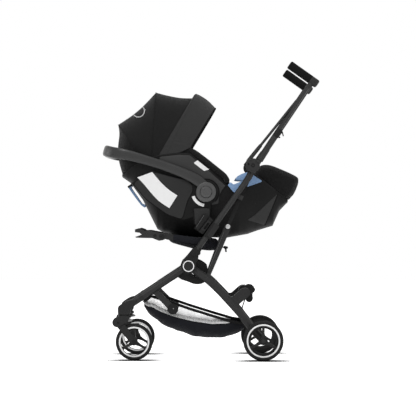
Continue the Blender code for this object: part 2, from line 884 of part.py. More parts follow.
BRACKET_OUTLINE = [
    (0.0650, 0.2230),
    (0.0798, 0.2230),
    (0.1080, 0.2480),
    (0.1180, 0.2530),
    (0.1310, 0.2530),
    (0.1400, 0.2440),
    (0.1400, 0.2300),
    (0.1320, 0.2210),
    (0.1160, 0.2080),
    (0.1020, 0.1960),
    (0.1020, 0.1740),
    (0.0800, 0.1990),
]


def make_rear_crossbar():
    """The rear crossbar with the bracket that seats it on each leg."""
    end = REAR_LEG_Y + 0.0090
    obj = cross_rod("rear_crossbar", REAR_BAR, -end, end, REAR_BAR_RADIUS, BLACK_PLASTIC)
    for word, side in SIDES:
        y0, y1 = span(side, REAR_LEG_Y - 0.0100, REAR_LEG_Y + 0.0105)
        bracket = plate("rear_bracket_" + word, [BRACKET_OUTLINE], y0, y1, cutter=True)
        join(obj, bracket)
    for word, side in SIDES:
        path = [side_point(p, side * REAR_LEG_Y) for p in REAR_LEG_PATH]
        cut(obj, tube("leg_seat_" + word, path, REAR_LEG_RADIUS + GAP, resolution=2, cutter=True))
    return obj


PEDAL_OUTLINE = [
    (0.1030, 0.2370),
    (0.1045, 0.2470),
    (0.1110, 0.2550),
    (0.1200, 0.2570),
    (0.1290, 0.2555),
    (0.1330, 0.2590),
    (0.1400, 0.2600),
    (0.1500, 0.2580),
    (0.1590, 0.2500),
    (0.1627, 0.2420),
    (0.1600, 0.2350),
    (0.1530, 0.2290),
    (0.1530, 0.2180),
    (0.1545, 0.2110),
    (0.1510, 0.2010),
    (0.1420, 0.1960),
    (0.1330, 0.1990),
    (0.1250, 0.2090),
    (0.1120, 0.2200),
    (0.1045, 0.2290),
]


def make_brake_pedal():
    bore = circle(REAR_BAR, REAR_BAR_RADIUS + GAP, 20)
    return plate("brake_pedal", [PEDAL_OUTLINE, bore], -0.0350, 0.0350, BLACK_PLASTIC)


def make_brake_cable():
    under = REAR_BAR[1] - REAR_BAR_RADIUS - CABLE_RADIUS - GAP
    inner = -(REAR_LEG_Y - REAR_LEG_RADIUS - CABLE_RADIUS - GAP)
    route = [
        (REAR_BAR[0], -0.0360, under),
        (REAR_BAR[0], -0.1450, under),
        (REAR_BAR[0], -0.1600, under - 0.0020),
        (REAR_BAR[0] - 0.0020, inner + 0.0030, under - 0.0080),
        (REAR_BAR[0] - 0.0060, inner, under - 0.0200),
        (0.1130, inner, 0.1750),
        (0.1240, inner, 0.1420),
        (0.1540, inner, 0.1040),
        (0.1700, inner, 0.0880),
    ]
    return tube("brake_cable", route, CABLE_RADIUS, BLACK_PLASTIC, resolution=1)


def make_strut(word, side):
    """The lower fold strut, from the rear leg to the knee."""
    outlines = [
        capsule(STRUT_FOOT, KNEE, STRUT_WIDTH / 2, KNEE_BORE_RADIUS + 0.0035, 11),
        circle(STRUT_FOOT, LINK_PIN_RADIUS + GAP, 12),
        circle(KNEE, KNEE_BORE_RADIUS, 16),
    ]
    inner = STRUT_Y - FLAT_BAR / 2
    outer = STRUT_Y + FLAT_BAR / 2
    return plate("fold_strut_" + word, outlines, *span(side, inner, outer), FRAME_PAINT)


def make_link(word, side):
    """The upper fold link, which slides in its guide and carries the knee rivet."""
    obj = plate(
        "fold_link_" + word,
        [capsule(KNEE, LINK_TOP, LINK_WIDTH / 2)],
        *span(side, LINK_Y - FLAT_BAR / 2, LINK_Y + FLAT_BAR / 2),
        BLACK_PLASTIC,
    )
    rivet_inner = STRUT_Y - FLAT_BAR / 2 - RUNNING_GAP
    rivet_outer = LINK_Y + FLAT_BAR / 2 + 0.0025
    rivet = cross_rod(
        "knee_rivet_" + word,
        KNEE,
        side * (rivet_inner - 0.0010),
        side * rivet_outer,
        LINK_PIN_RADIUS,
        sides=12,
        cutter=True,
    )
    head = cross_rod(
        "knee_head_" + word,
        KNEE,
        side * (LINK_Y + 0.0010),
        side * rivet_outer,
        KNEE_HEAD_RADIUS,
        sides=16,
        cutter=True,
    )
    washer = cross_rod(
        "knee_washer_" + word,
        KNEE,
        side * (rivet_inner - 0.0025),
        side * rivet_inner,
        KNEE_BORE_RADIUS + 0.0020,
        sides=16,
        cutter=True,
    )
    return join(obj, rivet, head, washer)


# Casters and wheels


def make_yoke(word, side):
    disc = rod(
        "caster_yoke_" + word,
        (SWIVEL_X, side * CASTER_Y, YOKE_TOP - YOKE_DISC),
        (SWIVEL_X, side * CASTER_Y, YOKE_TOP),
        YOKE_RADIUS,
        BLACK_PLASTIC,
        sides=32,
    )
    cheek_outline = arc(polar(SUSPENSION, math.pi, 0.0045, -0.0020), 0.0167, 110, 290, 9) + [
        (-0.2960, 0.1290),
        (-0.2850, 0.1350),
        (-0.2790, YOKE_TOP - 0.0080),
        (-0.2830, YOKE_TOP - 0.0020),
        (-0.3150, YOKE_TOP - 0.0020),
    ]
    for end, direction in (("inner", -1), ("outer", 1)):
        y0 = side * CASTER_Y + direction * CHEEK_INNER
        y1 = side * CASTER_Y + direction * CHEEK_OUTER
        cheek = plate(
            f"yoke_cheek_{end}_{word}",
            [cheek_outline, circle(SUSPENSION, SUSPENSION_PIN_RADIUS + GAP, 12)],
            min(y0, y1),
            max(y0, y1),
            cutter=True,
        )
        join(disc, cheek)
    return disc


def make_suspension_arm(word, side):
    """The fork arm pair, bridged round the suspension pin."""
    y = side * CASTER_Y
    obj = cross_rod(
        "suspension_arm_" + word,
        SUSPENSION,
        y - ARM_OUTER,
        y + ARM_OUTER,
        ARM_BARREL_RADIUS,
        BLACK_PLASTIC,
        sides=16,
    )
    for end, direction in (("inner", -1), ("outer", 1)):
        y0, y1 = y + direction * ARM_INNER, y + direction * (ARM_OUTER + 0.0002)
        arm = plate(
            f"arm_plate_{end}_{word}",
            [capsule(SUSPENSION, FRONT_AXLE, ARM_WIDTH / 2, ARM_END_RADIUS)],
            min(y0, y1),
            max(y0, y1),
            cutter=True,
        )
        join(obj, arm)
    pin = cross_rod(
        "suspension_pin_" + word,
        SUSPENSION,
        y - CHEEK_OUTER,
        y + CHEEK_OUTER,
        SUSPENSION_PIN_RADIUS,
        sides=12,
        cutter=True,
    )
    axle = cross_rod(
        "front_axle_" + word,
        FRONT_AXLE,
        y - ARM_OUTER - 0.0015,
        y + ARM_OUTER + 0.0015,
        AXLE_RADIUS,
        sides=16,
        cutter=True,
    )
    return join(obj, pin, axle)


def make_lever(word, side):
    outline = [
        (-0.3020, 0.1370),
        (-0.3000, YOKE_TOP - YOKE_DISC - 0.0010),
        (-0.2830, YOKE_TOP - YOKE_DISC - 0.0010),
        (-0.2690, 0.1420),
        (-0.2700, 0.1375),
        (-0.2860, 0.1350),
    ]
    y = side * CASTER_Y
    half = CHEEK_INNER - GAP
    return plate("swivel_lock_" + word, [outline], y - half, y + half, GREY_PLASTIC)


def make_tyre(name, axle, y, radius, rim_radius, width):
    """A turned tyre with a rounded tread, open on its rim."""
    inner = rim_radius + GAP
    half = width / 2
    shoulder = half * 0.55
    profile = [
        (inner, half * 0.85),
        ((inner + radius) / 2, half),
        (radius - 0.0025, half * 0.85),
        (radius, shoulder * 0.6),
        (radius, -shoulder * 0.6),
        (radius - 0.0025, -half * 0.85),
        ((inner + radius) / 2, -half),
        (inner, -half * 0.85),
    ]
    bm = bmesh.new()
    ring = [bm.verts.new((r, 0.0, z)) for r, z in profile]
    for a, b in zip(ring, ring[1:] + ring[:1]):
        bm.edges.new((a, b))
    mesh = bpy.data.meshes.new(name)
    bm.to_mesh(mesh)
    bm.free()
    obj = place(name, mesh, RUBBER)
    turned = obj.modifiers.new("turned", "SCREW")
    turned.steps = WHEEL_SIDES
    turned.render_steps = WHEEL_SIDES
    turned.use_merge_vertices = True
    turned.merge_threshold = 0.0001
    turned.use_smooth_shade = True
    obj.location = (axle[0], y, axle[1])
    obj.rotation_euler = (math.pi / 2, 0, 0)
    return obj


def make_rim(name, axle, y, rim_radius, width):
    """A deep rim with its hub and three spokes."""
    inner = rim_radius - RIM_WALL
    outlines = [circle(axle, rim_radius, WHEEL_SIDES), circle(axle, AXLE_RADIUS + GAP, 16)]
    for spoke in range(SPOKES):
        first = 90 + spoke * 360 / SPOKES
        last = first + 360 / SPOKES
        outer_trim = math.degrees(math.asin(SPOKE_WIDTH / 2 / inner))
        hub_trim = math.degrees(math.asin(SPOKE_WIDTH / 2 / WHEEL_HUB_RADIUS))
        outlines.append(
            arc(axle, inner, first + outer_trim, last - outer_trim, 9)
            + arc(axle, WHEEL_HUB_RADIUS, last - hub_trim, first + hub_trim, 4)
        )
    half = width / 2 - 0.0020
    return plate(name, outlines, y - half, y + half, RIM_PLASTIC)


# Handle poles

GRIP_SLOPE = POLE_SLOPE + math.pi / 2
POLE_TOP = polar(HINGE, POLE_SLOPE, POLE_LENGTH)


POLE_FOOT = polar(HINGE, POLE_SLOPE, 0.0, -POLE_OFFSET)
POLE_AXIS = slope_of(POLE_FOOT, POLE_TOP)
GRIP_Y = POLE_Y - POLE_LEAN
ROD_FOOT = polar(HINGE, POLE_SLOPE, -0.0030, 0.0225)
ROD_HEAD = polar(HINGE, POLE_SLOPE, 0.3000, 0.0045)
ROD_SLOPE = slope_of(ROD_FOOT, ROD_HEAD)


def pole_point(side, distance, offset=0.0):
    """A point on the pole's line, which leans in towards its grip."""
    y = POLE_Y - POLE_LEAN * distance / POLE_LENGTH
    return side_point(polar(POLE_FOOT, POLE_AXIS, distance, offset), side * y)


def pole_rod(name, side, radius, first=0.0, last=None):
    """A length of the thin rod that runs up beside the pole."""
    length = math.dist(ROD_FOOT, ROD_HEAD)
    ends = []
    for distance in (first, length if last is None else last):
        y = POLE_Y - POLE_LEAN * distance / POLE_LENGTH
        ends.append(side_point(polar(ROD_FOOT, ROD_SLOPE, distance), side * y))
    return rod(name, *ends, radius, sides=12, cutter=True)


def make_pole(word, side):
    obj = rod(
        "handle_pole_" + word,
        pole_point(side, 0.0175),
        pole_point(side, POLE_LENGTH),
        POLE_RADIUS,
        FRAME_PAINT,
        sides=16,
    )
    knuckle = cross_rod(
        "pole_knuckle_" + word,
        HINGE,
        side * (POLE_Y - 0.0127),
        side * (POLE_Y + 0.0030),
        HINGE_DISC_RADIUS,
        sides=24,
        cutter=True,
    )
    pin = cross_rod(
        "pole_pin_" + word,
        HINGE,
        side * (PUSH_TUBE_Y - 0.0045),
        side * POLE_Y,
        HINGE_PIN_RADIUS,
        sides=16,
        cutter=True,
    )
    sleeve = rod(
        "pole_sleeve_" + word,
        pole_point(side, SLEEVE_START),
        pole_point(side, SLEEVE_START + SLEEVE_LENGTH),
        SLEEVE_RADIUS,
        sides=16,
        end_radius=SLEEVE_RADIUS - 0.0015,
        cutter=True,
    )
    screw = cross_rod(
        "pole_screw_" + word, HINGE, side * POLE_Y, side * (POLE_Y + 0.0055), 0.0060, sides=16, cutter=True
    )
    thin = pole_rod("pole_rod_" + word, side, POLE_ROD_RADIUS)
    thin_sleeve = pole_rod("rod_sleeve_" + word, side, ROD_SLEEVE_RADIUS, 0.0180, 0.0750)
    return join(obj, knuckle, pin, sleeve, screw, thin, thin_sleeve)


def make_grip(word, side):
    """The foam grip, with rounded ends, pushed over the head of the pole."""
    back = polar(POLE_TOP, GRIP_SLOPE, -GRIP_BEHIND_POLE)
    ends = [(0.0, 0.55), (0.0025, 0.85), (0.0070, 1.0)]
    steps = ends + [(GRIP_LENGTH - distance, share) for distance, share in reversed(ends)]
    rows = []
    for distance, share in steps:
        centre = polar(back, GRIP_SLOPE, distance)
        row = []
        for i in range(16):
            angle = 2 * math.pi * i / 16
            lift = GRIP_RADIUS * share * math.cos(angle)
            x, z = polar(centre, GRIP_SLOPE, 0.0, lift)
            row.append((x, side * GRIP_Y + GRIP_RADIUS * share * math.sin(angle), z))
        rows.append(row)
    obj = loft("handle_grip_" + word, rows, FOAM, closed=True, caps=True)
    entry = rod(
        "grip_entry_" + word,
        pole_point(side, POLE_LENGTH - 0.0600),
        pole_point(side, POLE_LENGTH + GAP),
        POLE_RADIUS + GAP,
        cutter=True,
    )
    return cut(obj, entry)


def make_hook():
    """The bag hook, clipped round the left pole."""
    low = pole_point(-1, HOOK_AT - 0.0210)
    high = pole_point(-1, HOOK_AT + 0.0070)
    obj = rod("bag_hook", low, high, POLE_RADIUS + 0.0022, BLACK_PLASTIC)
    claw = (
        (0.0065, -0.0080),
        (0.0065, -0.0125),
        (0.0010, -0.0185),
        (-0.0040, -0.0235),
        (-0.0065, -0.0215),
        (-0.0030, -0.0175),
        (0.0000, -0.0135),
        (0.0000, -0.0080),
    )
    catch = ((-0.0130, -0.0080), (-0.0140, -0.0165), (-0.0175, -0.0160), (-0.0185, -0.0080))
    y = POLE_Y - POLE_LEAN * HOOK_AT / POLE_LENGTH
    for name, corners in (("bag_hook_claw", claw), ("bag_hook_catch", catch)):
        outline = [polar(POLE_FOOT, POLE_AXIS, HOOK_AT + a, b) for a, b in corners]
        join(obj, plate(name, [outline], -y - 0.0035, -y + 0.0035, cutter=True))
    start = pole_point(-1, HOOK_AT - 0.0450)
    end = pole_point(-1, HOOK_AT + 0.0350)
    bore = rod("bag_hook_bore", start, end, POLE_RADIUS + GAP, cutter=True)
    rod_space = pole_rod("bag_hook_rod_space", -1, POLE_ROD_RADIUS + GAP)
    return cut(obj, bore, rod_space)


# Infant seat

SHELL_WIDTH = [
    (-0.3080, 0.1050),
    (-0.2900, 0.1300),
    (-0.2620, 0.1470),
    (-0.2400, 0.1530),
    (-0.2000, 0.1570),
    (0.0000, 0.1580),
    (0.0600, 0.1530),
    (0.1000, 0.1500),
    (0.1400, 0.1430),
    (0.2000, 0.1300),
    (0.2750, 0.1100),
]
SHELL_RIM = [
    (-0.3080, 0.6500),
    (-0.2900, 0.6580),
    (-0.2620, 0.6800),
    (-0.2400, 0.6930),
    (-0.2050, 0.7070),
    (-0.1785, 0.7140),
    (-0.1050, 0.7220),
    (-0.0700, 0.7200),
    (0.0000, 0.6620),
    (0.0700, 0.6000),
    (0.1050, 0.5950),
    (0.1600, 0.6480),
    (0.2750, 0.5600),
]
SHELL_BOTTOM = [
    (-0.3080, 0.6400),
    (-0.2800, 0.6200),
    (-0.2364, 0.5591),
    (-0.2075, 0.5009),
    (-0.1850, 0.4560),
    (-0.1650, 0.4450),
    (-0.0600, 0.4290),
    (0.0600, 0.4256),
    (0.1345, 0.4391),
    (0.1731, 0.4527),
    (0.2238, 0.4681),
    (0.2470, 0.5205),
    (0.2750, 0.5500),
]
SHELL_STATIONS = (
    -0.3080,
    -0.2950,
    -0.2750,
    -0.2500,
    -0.2250,
    -0.2020,
    -0.1785,
    -0.1500,
    -0.1050,
    -0.0700,
    -0.0350,
    0.0000,
    0.0350,
    0.0700,
    0.1050,
    0.1300,
    0.1600,
    0.1950,
    0.2238,
    0.2470,
    0.2750,
)
LINER_STATIONS = (
    -0.2500,
    -0.2350,
    -0.2150,
    -0.1950,
    -0.1750,
    -0.1550,
    -0.1300,
    -0.1050,
    -0.0700,
    -0.0450,
    -0.0200,
    0.0100,
    0.0400,
    0.0700,
    0.1050,
    0.1300,
    0.1600,
    0.1950,
)
LINER_CHANNELS = (-0.1950, -0.1300, -0.0450, 0.0400, 0.1300)
CHANNEL_SHARE = 0.65
LINER_RIM_LIFT = [
    (-0.1050, -0.0030),
    (-0.0700, 0.0290),
    (0.0000, 0.0320),
    (0.0700, 0.0200),
    (0.1050, -0.0030),
]


def make_carrier_shell():
    rows = [
        trough_section(x, between(SHELL_WIDTH, x), between(SHELL_RIM, x), between(SHELL_BOTTOM, x))
        for x in SHELL_STATIONS
    ]
    return loft("carrier_shell", rows, BLACK_PLASTIC, SHELL_WALL, caps=True)


def make_liner():
    """The padded liner, crowned between the sewn channels that cross it."""
    inset = SHELL_WALL + LINER_GAP
    rows = []
    for x in LINER_STATIONS:
        sewn = min(abs(x - channel) for channel in LINER_CHANNELS) < 0.001
        pad = LINER_THICKNESS * (CHANNEL_SHARE if sewn else 1.0)
        half_width = between(SHELL_WIDTH, x) - inset
        rim = between(SHELL_RIM, x) + between(LINER_RIM_LIFT, x)
        outer = trough_section(x, half_width, rim, lifted(SHELL_BOTTOM, x, inset + 0.0010))
        inner = trough_section(x, half_width - pad, rim, lifted(SHELL_BOTTOM, x, inset + pad))
        rows.append(outer + list(reversed(inner)))
    return loft("seat_liner", rows, BLACK_FABRIC, closed=True, caps=True)


def liner_top(x):
    return lifted(SHELL_BOTTOM, x, SHELL_WALL + LINER_GAP + LINER_THICKNESS)


def make_foot_muff():
    """The padded foot end that closes the seat above the shell's rim."""
    outline = [
        (0.1572, 0.6510),
        (0.1655, 0.6665),
        (0.1810, 0.6820),
        (0.2120, 0.6815),
        (0.2510, 0.6669),
        (0.2800, 0.6544),
        (0.3080, 0.6400),
        (0.3148, 0.6312),
        (0.3091, 0.6116),
        (0.2995, 0.5884),
        (0.2838, 0.5612),
        (0.2790, 0.5578),
    ]
    pivot = along(outline[0], outline[-1], 0.55)
    half = [(0.1280, 0.80), (0.1230, 0.90), (0.1050, 0.98), (0.0500, 1.0)]
    rows = []
    for y, share in [(-y, share) for y, share in half] + half[::-1]:
        rows.append([side_point(along(pivot, point, share), y) for point in outline])
    return loft("foot_muff", rows, BLACK_FABRIC, closed=True, caps=True)


PANEL_LOWER = [(-0.0932, 0.4895), (-0.1489, 0.5173), (-0.2220, 0.5626)]


def make_side_panel(word, side):
    """The side protector with the handle's bearing disc and the stalk that stands in the adapter."""
    outline = [(-0.2742, 0.6183), (-0.2000, 0.6620), (-0.1106, 0.6357), (-0.0600, 0.6250)]
    outline += arc(CARRY_HUB, CARRY_HOUSING_RADIUS, 130, -50, 16)
    outline += [(0.0030, 0.5450), (0.0010, STALK_FOOT_Z), (-0.0530, STALK_FOOT_Z), (-0.0580, 0.5000)]
    outline += PANEL_LOWER
    obj = plate("side_panel_" + word, [outline], *span(side, PANEL_INNER_Y, PANEL_OUTER_Y), BLACK_PLASTIC)
    stalk = plate(
        "stalk_" + word,
        [[(-0.0560, 0.5300), (-0.0500, STALK_FOOT_Z), (-0.0020, STALK_FOOT_Z), (0.0000, 0.5300)]],
        *span(side, PANEL_OUTER_Y - 0.0010, STALK_OUTER_Y),
        cutter=True,
    )
    pin = cross_rod(
        "carry_pin_" + word,
        CARRY_HUB,
        side * (PANEL_OUTER_Y - 0.0010),
        side * CARRY_PIN_END_Y,
        BUTTON_RADIUS - 0.0010,
        cutter=True,
    )
    return join(obj, stalk, pin)


CARRY_PATH = [
    (-0.0130, 0.6000, CARRY_ARM_Y, 0.0360),
    (-0.0400, 0.6250, CARRY_ARM_Y, 0.0360),
    (-0.0850, 0.6495, CARRY_ARM_Y, 0.0335),
    (-0.1480, 0.6745, CARRY_ARM_Y, 0.0320),
    (-0.2060, 0.6935, CARRY_ARM_Y, 0.0320),
    (-0.2660, 0.7110, CARRY_ARM_Y, 0.0345),
    (-0.3080, 0.7205, 0.1715, 0.0375),
    (-0.3380, 0.7255, 0.1560, 0.0390),
    (-0.3550, 0.7298, 0.1280, 0.0395),
    (-0.3620, 0.7323, 0.0900, 0.0395),
    (-0.3637, 0.7333, 0.0400, 0.0395),
]


def make_carry_handle():
    """The carrying bar: two arms, bent into one grip behind the canopy."""
    near = [(x, -y, z, height) for x, z, y, height in CARRY_PATH]
    far = [(x, -y, z, height) for x, y, z, height in reversed(near)]
    stations = near + far
    up = Vector((math.sin(math.radians(15)), 0, math.cos(math.radians(15))))
    rows = []
    for i, (x, y, z, height) in enumerate(stations):
        before = Vector(stations[max(i - 1, 0)][:3])
        after = Vector(stations[min(i + 1, len(stations) - 1)][:3])
        heading = (after - before).normalized()
        across = heading.cross(up).normalized()
        lift = across.cross(heading).normalized()
        bulk = CARRY_ARM_THICKNESS / 2 + 0.0050 * (1 - min(1.0, max(0.0, (abs(y) - 0.13) / 0.04)))
        row = []
        for k in range(10):
            angle = 2 * math.pi * k / 10
            a = math.copysign(abs(math.cos(angle)) ** 0.6, math.cos(angle)) * bulk
            b = math.copysign(abs(math.sin(angle)) ** 0.6, math.sin(angle)) * height / 2
            row.append(Vector((x, y, z)) + across * a + lift * b)
        rows.append(row)
    obj = loft("carry_handle", rows, BLACK_PLASTIC, closed=True, caps=True)
    half = CARRY_ARM_THICKNESS / 2
    for word, side in SIDES:
        disc = plate(
            "carry_disc_" + word,
            [circle(CARRY_HUB, CARRY_DISC_RADIUS, 28)],
            *span(side, CARRY_ARM_Y - half + 0.0002, CARRY_ARM_Y + half + 0.0005),
            cutter=True,
        )
        join(obj, disc)
    for word, side in SIDES:
        bore = cross_rod(
            "carry_bore_" + word,
            CARRY_HUB,
            side * (CARRY_ARM_Y - 0.0200),
            side * (CARRY_ARM_Y + 0.0200),
            BUTTON_RADIUS + GAP,
            sides=24,
            cutter=True,
        )
        cut(obj, bore)
    return obj


def make_button(word, side):
    """The release button in the middle of the carrying bar's disc."""
    inner = CARRY_PIN_END_Y + BUTTON_TRAVEL + GAP
    return cross_rod(
        "handle_button_" + word,
        CARRY_HUB,
        side * inner,
        side * BUTTON_OUTER_Y,
        BUTTON_RADIUS,
        GREY_PLASTIC,
        sides=24,
    )


def make_belt_hook(word, side):
    outline = [
        (0.0625, 0.6118),
        (0.0730, 0.6216),
        (0.0839, 0.6136),
        (0.1104, 0.6244),
        (0.1185, 0.6285),
        (0.1017, 0.6292),
        (0.0891, 0.6310),
        (0.0961, 0.6422),
        (0.1122, 0.6510),
        (0.1339, 0.6573),
        (0.1559, 0.6440),
        (0.1856, 0.6244),
        (0.1356, 0.6066),
        (0.0954, 0.5900),
        (0.0874, 0.5850),
        (0.0804, 0.5900),
    ]
    y0, y1 = span(side, BELT_HOOK_Y, BELT_HOOK_Y + BELT_HOOK_THICKNESS)
    return plate("belt_hook_" + word, [outline], y0, y1, BLUE_PLASTIC)


SHELL_BACK = [(x, between(SHELL_BOTTOM, x)) for x in SHELL_STATIONS]
REAR_GUIDE = [
    # X on the shell's back, and the strap's inner and outer distance from it
    (-0.2790, 0.0006, 0.0150),
    (-0.2735, 0.0006, 0.0160),
    (-0.2725, 0.0080, 0.0162),
    (-0.2620, 0.0090, 0.0168),
    (-0.2520, 0.0090, 0.0165),
    (-0.2420, 0.0082, 0.0150),
    (-0.2340, 0.0070, 0.0130),
    (-0.2300, 0.0006, 0.0110),
    (-0.2255, 0.0006, 0.0070),
]


def off_back(x, distance):
    """A point at a distance outside the middle of the shell's back."""
    slope = slope_of((x - 0.005, between(SHELL_BACK, x - 0.005)), (x + 0.005, between(SHELL_BACK, x + 0.005)))
    return polar((x, between(SHELL_BACK, x)), slope, 0.0, -distance)


def make_rear_guide():
    """The belt strap that stands off the back of the shell."""
    outside = [off_back(x, outer) for x, inner, outer in REAR_GUIDE]
    inside = [off_back(x, inner) for x, inner, outer in REAR_GUIDE]
    return plate("rear_belt_guide", [outside + inside[::-1]], -0.0450, 0.0450, BLUE_PLASTIC)


CANOPY_CREST = [
    # crown X and Z, hem X
    (-0.3120, 0.6600, -0.2880),
    (-0.3225, 0.7000, -0.2720),
    (-0.3257, 0.7480, -0.2560),
    (-0.3210, 0.7950, -0.2420),
    (-0.3250, 0.8280, -0.2320),
    (-0.2980, 0.8460, -0.2240),
    (-0.2714, 0.8644, -0.2170),
    (-0.2347, 0.8961, -0.2100),
    (-0.1907, 0.9429, -0.2030),
    (-0.1500, 0.9325, -0.1960),
    (-0.1040, 0.9240, -0.1890),
    (-0.0593, 0.9226, -0.1800),
]
HEM_ABOVE_RIM = 0.0016
HEM_INSET = 0.0005
CANOPY_HOOPS = [
    (
        crown_x,
        crown_z,
        hem_x,
        between(SHELL_RIM, hem_x) + HEM_ABOVE_RIM,
        between(SHELL_WIDTH, hem_x) - HEM_INSET,
    )
    for crown_x, crown_z, hem_x in CANOPY_CREST
]
VISOR_HOOPS = [
    # crown X and Z, hem X and Z, half width
    (-0.0583, 0.9234, -0.1780, 0.7160, 0.1566),
    (-0.0472, 0.9383, -0.1500, 0.7205, 0.1566),
    (-0.0087, 0.9169, -0.1050, 0.7265, 0.1565),
    (0.0217, 0.8872, -0.0637, 0.7460, 0.1565),
]


def hoop_row(hoop, steps=12):
    """One hoop of the canopy, from hem to hem over its crown."""
    crown_x, crown_z, hem_x, hem_z, half_width = hoop
    row = []
    for i in range(steps + 1):
        angle = math.pi * i / steps
        across = math.copysign(abs(math.cos(angle)) ** 0.7, -math.cos(angle))
        rise = math.sin(angle) ** 0.75 if 0 < i < steps else 0.0
        x, z = along((hem_x, hem_z), (crown_x, crown_z), rise)
        row.append((x, half_width * across, z))
    return row


def make_canopy():
    return loft("canopy", [hoop_row(h) for h in CANOPY_HOOPS], BLACK_FABRIC, CANOPY_THICKNESS)


def make_visor():
    return loft("canopy_visor", [hoop_row(h) for h in VISOR_HOOPS], GREY_FABRIC, CANOPY_THICKNESS)


def make_harness():
    """Both shoulder straps, joined in the buckle between them."""
    z = liner_top(HARNESS_END) + HARNESS_LIFT + BUCKLE_LIFT
    obj = block("harness", (HARNESS_END, 0, z), (0.0500, 0.0420, 0.0130), BLACK_FABRIC)
    stations = [x for x in LINER_STATIONS if HARNESS_START <= x <= HARNESS_END]
    half = HARNESS_WIDTH / 2
    for word, side in SIDES:
        rows = []
        for k, x in enumerate(stations):
            share = k / (len(stations) - 1)
            y = side * (HARNESS_Y + (HARNESS_MEETING_Y - HARNESS_Y) * share**2)
            low = liner_top(x) + HARNESS_LIFT
            high = low + HARNESS_THICKNESS
            rows.append([(x, y - half, low), (x, y + half, low), (x, y + half, high), (x, y - half, high)])
        join(obj, loft("harness_strap_" + word, rows, None, closed=True, caps=True, cutter=True))
    return obj


HEAD_PAD_STATIONS = [
    # X, extra half thickness, half width
    (-0.2350, 0.0000, 0.0700),
    (-0.2300, 0.0060, 0.0780),
    (-0.2100, 0.0100, 0.0820),
    (-0.1950, 0.0080, 0.0800),
    (-0.1880, 0.0000, 0.0720),
]


def make_head_pad():
    """The head cushion, thick in its middle and curled up at its sides."""
    rows = []
    for x, lift, half_width in HEAD_PAD_STATIONS:
        middle = liner_top(x) + HEAD_PAD_LIFT
        row = []
        for i in range(12):
            angle = 2 * math.pi * i / 12
            across = math.copysign(abs(math.cos(angle)) ** 0.6, math.cos(angle))
            bulge = (HEAD_PAD_EDGE + lift) * math.sin(angle)
            row.append((x, half_width * across, middle + bulge + HEAD_PAD_CURL * across**2))
        rows.append(row)
    return loft("head_pad", rows, GREY_FABRIC, closed=True, caps=True)


def make_all():
    make_front_crossbar()
    make_seat_crossbar()
    make_fold_latch()
    make_seat_base()
    make_basket()
    make_rear_crossbar()
    make_brake_pedal()
    make_brake_cable()
    make_hook()
    for word, side in SIDES:
        make_push_tube(word, side)
        make_hub_housing(word, side)
        make_front_leg(word, side)
        make_caster_housing(word, side)
        make_seat_rail(word, side)
        make_adapter(word, side)
        make_rear_leg(word, side)
        make_strut(word, side)
        make_link(word, side)
        make_yoke(word, side)
        make_suspension_arm(word, side)
        make_lever(word, side)
        front_y = side * CASTER_Y
        rear_y = side * REAR_WHEEL_Y
        front = (FRONT_WHEEL_RADIUS, FRONT_RIM_RADIUS, FRONT_TYRE_WIDTH)
        rear = (REAR_WHEEL_RADIUS, REAR_RIM_RADIUS, REAR_TYRE_WIDTH)
        make_tyre("front_tyre_" + word, FRONT_AXLE, front_y, *front)
        make_rim("front_rim_" + word, FRONT_AXLE, front_y, *front[1:])
        make_tyre("rear_tyre_" + word, REAR_AXLE, rear_y, *rear)
        make_rim("rear_rim_" + word, REAR_AXLE, rear_y, *rear[1:])
        make_pole(word, side)
        make_grip(word, side)
        make_side_panel(word, side)
        make_button(word, side)
        make_belt_hook(word, side)
    make_carrier_shell()
    make_liner()
    make_foot_muff()
    make_carry_handle()
    make_rear_guide()
    make_canopy()
    make_visor()
    make_harness()
    make_head_pad()


make_all()
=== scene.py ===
"""Dressed travel system stroller: an infant seat on a light folding frame."""

import math

import bmesh
import bpy
from mathutils import Matrix, Vector
from mathutils.bvhtree import BVHTree


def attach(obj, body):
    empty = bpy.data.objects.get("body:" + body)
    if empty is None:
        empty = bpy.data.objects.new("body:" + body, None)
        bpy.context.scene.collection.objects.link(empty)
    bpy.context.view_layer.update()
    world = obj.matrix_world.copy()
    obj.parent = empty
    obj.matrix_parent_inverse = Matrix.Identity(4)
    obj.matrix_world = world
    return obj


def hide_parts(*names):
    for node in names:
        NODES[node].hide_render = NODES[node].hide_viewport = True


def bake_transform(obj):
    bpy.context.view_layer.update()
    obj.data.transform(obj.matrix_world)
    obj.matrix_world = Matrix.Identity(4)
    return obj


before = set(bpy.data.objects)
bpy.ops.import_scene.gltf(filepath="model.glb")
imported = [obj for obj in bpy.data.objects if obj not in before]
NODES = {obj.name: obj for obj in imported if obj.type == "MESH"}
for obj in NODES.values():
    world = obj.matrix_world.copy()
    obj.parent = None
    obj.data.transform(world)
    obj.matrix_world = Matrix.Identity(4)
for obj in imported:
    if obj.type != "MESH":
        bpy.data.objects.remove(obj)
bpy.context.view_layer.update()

SIDES = (("left", -1), ("right", 1))
IMAGE = 416
CAMERA_AT = (-0.034, -7.6, 0.5034)
LENS = 184.2
FRAME_SHIFT = 8 / IMAGE

# ---------------------------------------------------------------- camera


def link(obj):
    bpy.context.scene.collection.objects.link(obj)
    return obj


def make_camera():
    data = bpy.data.cameras.new("camera")
    data.sensor_width = 36.0
    data.lens = LENS
    data.shift_x = data.shift_y = FRAME_SHIFT
    data.clip_start = 0.1
    data.clip_end = 60.0
    camera = link(bpy.data.objects.new("camera", data))
    camera.location = CAMERA_AT
    camera.rotation_euler = (math.pi / 2, 0, 0)
    bpy.context.scene.camera = camera


make_camera()

# ---------------------------------------------------------------- materials


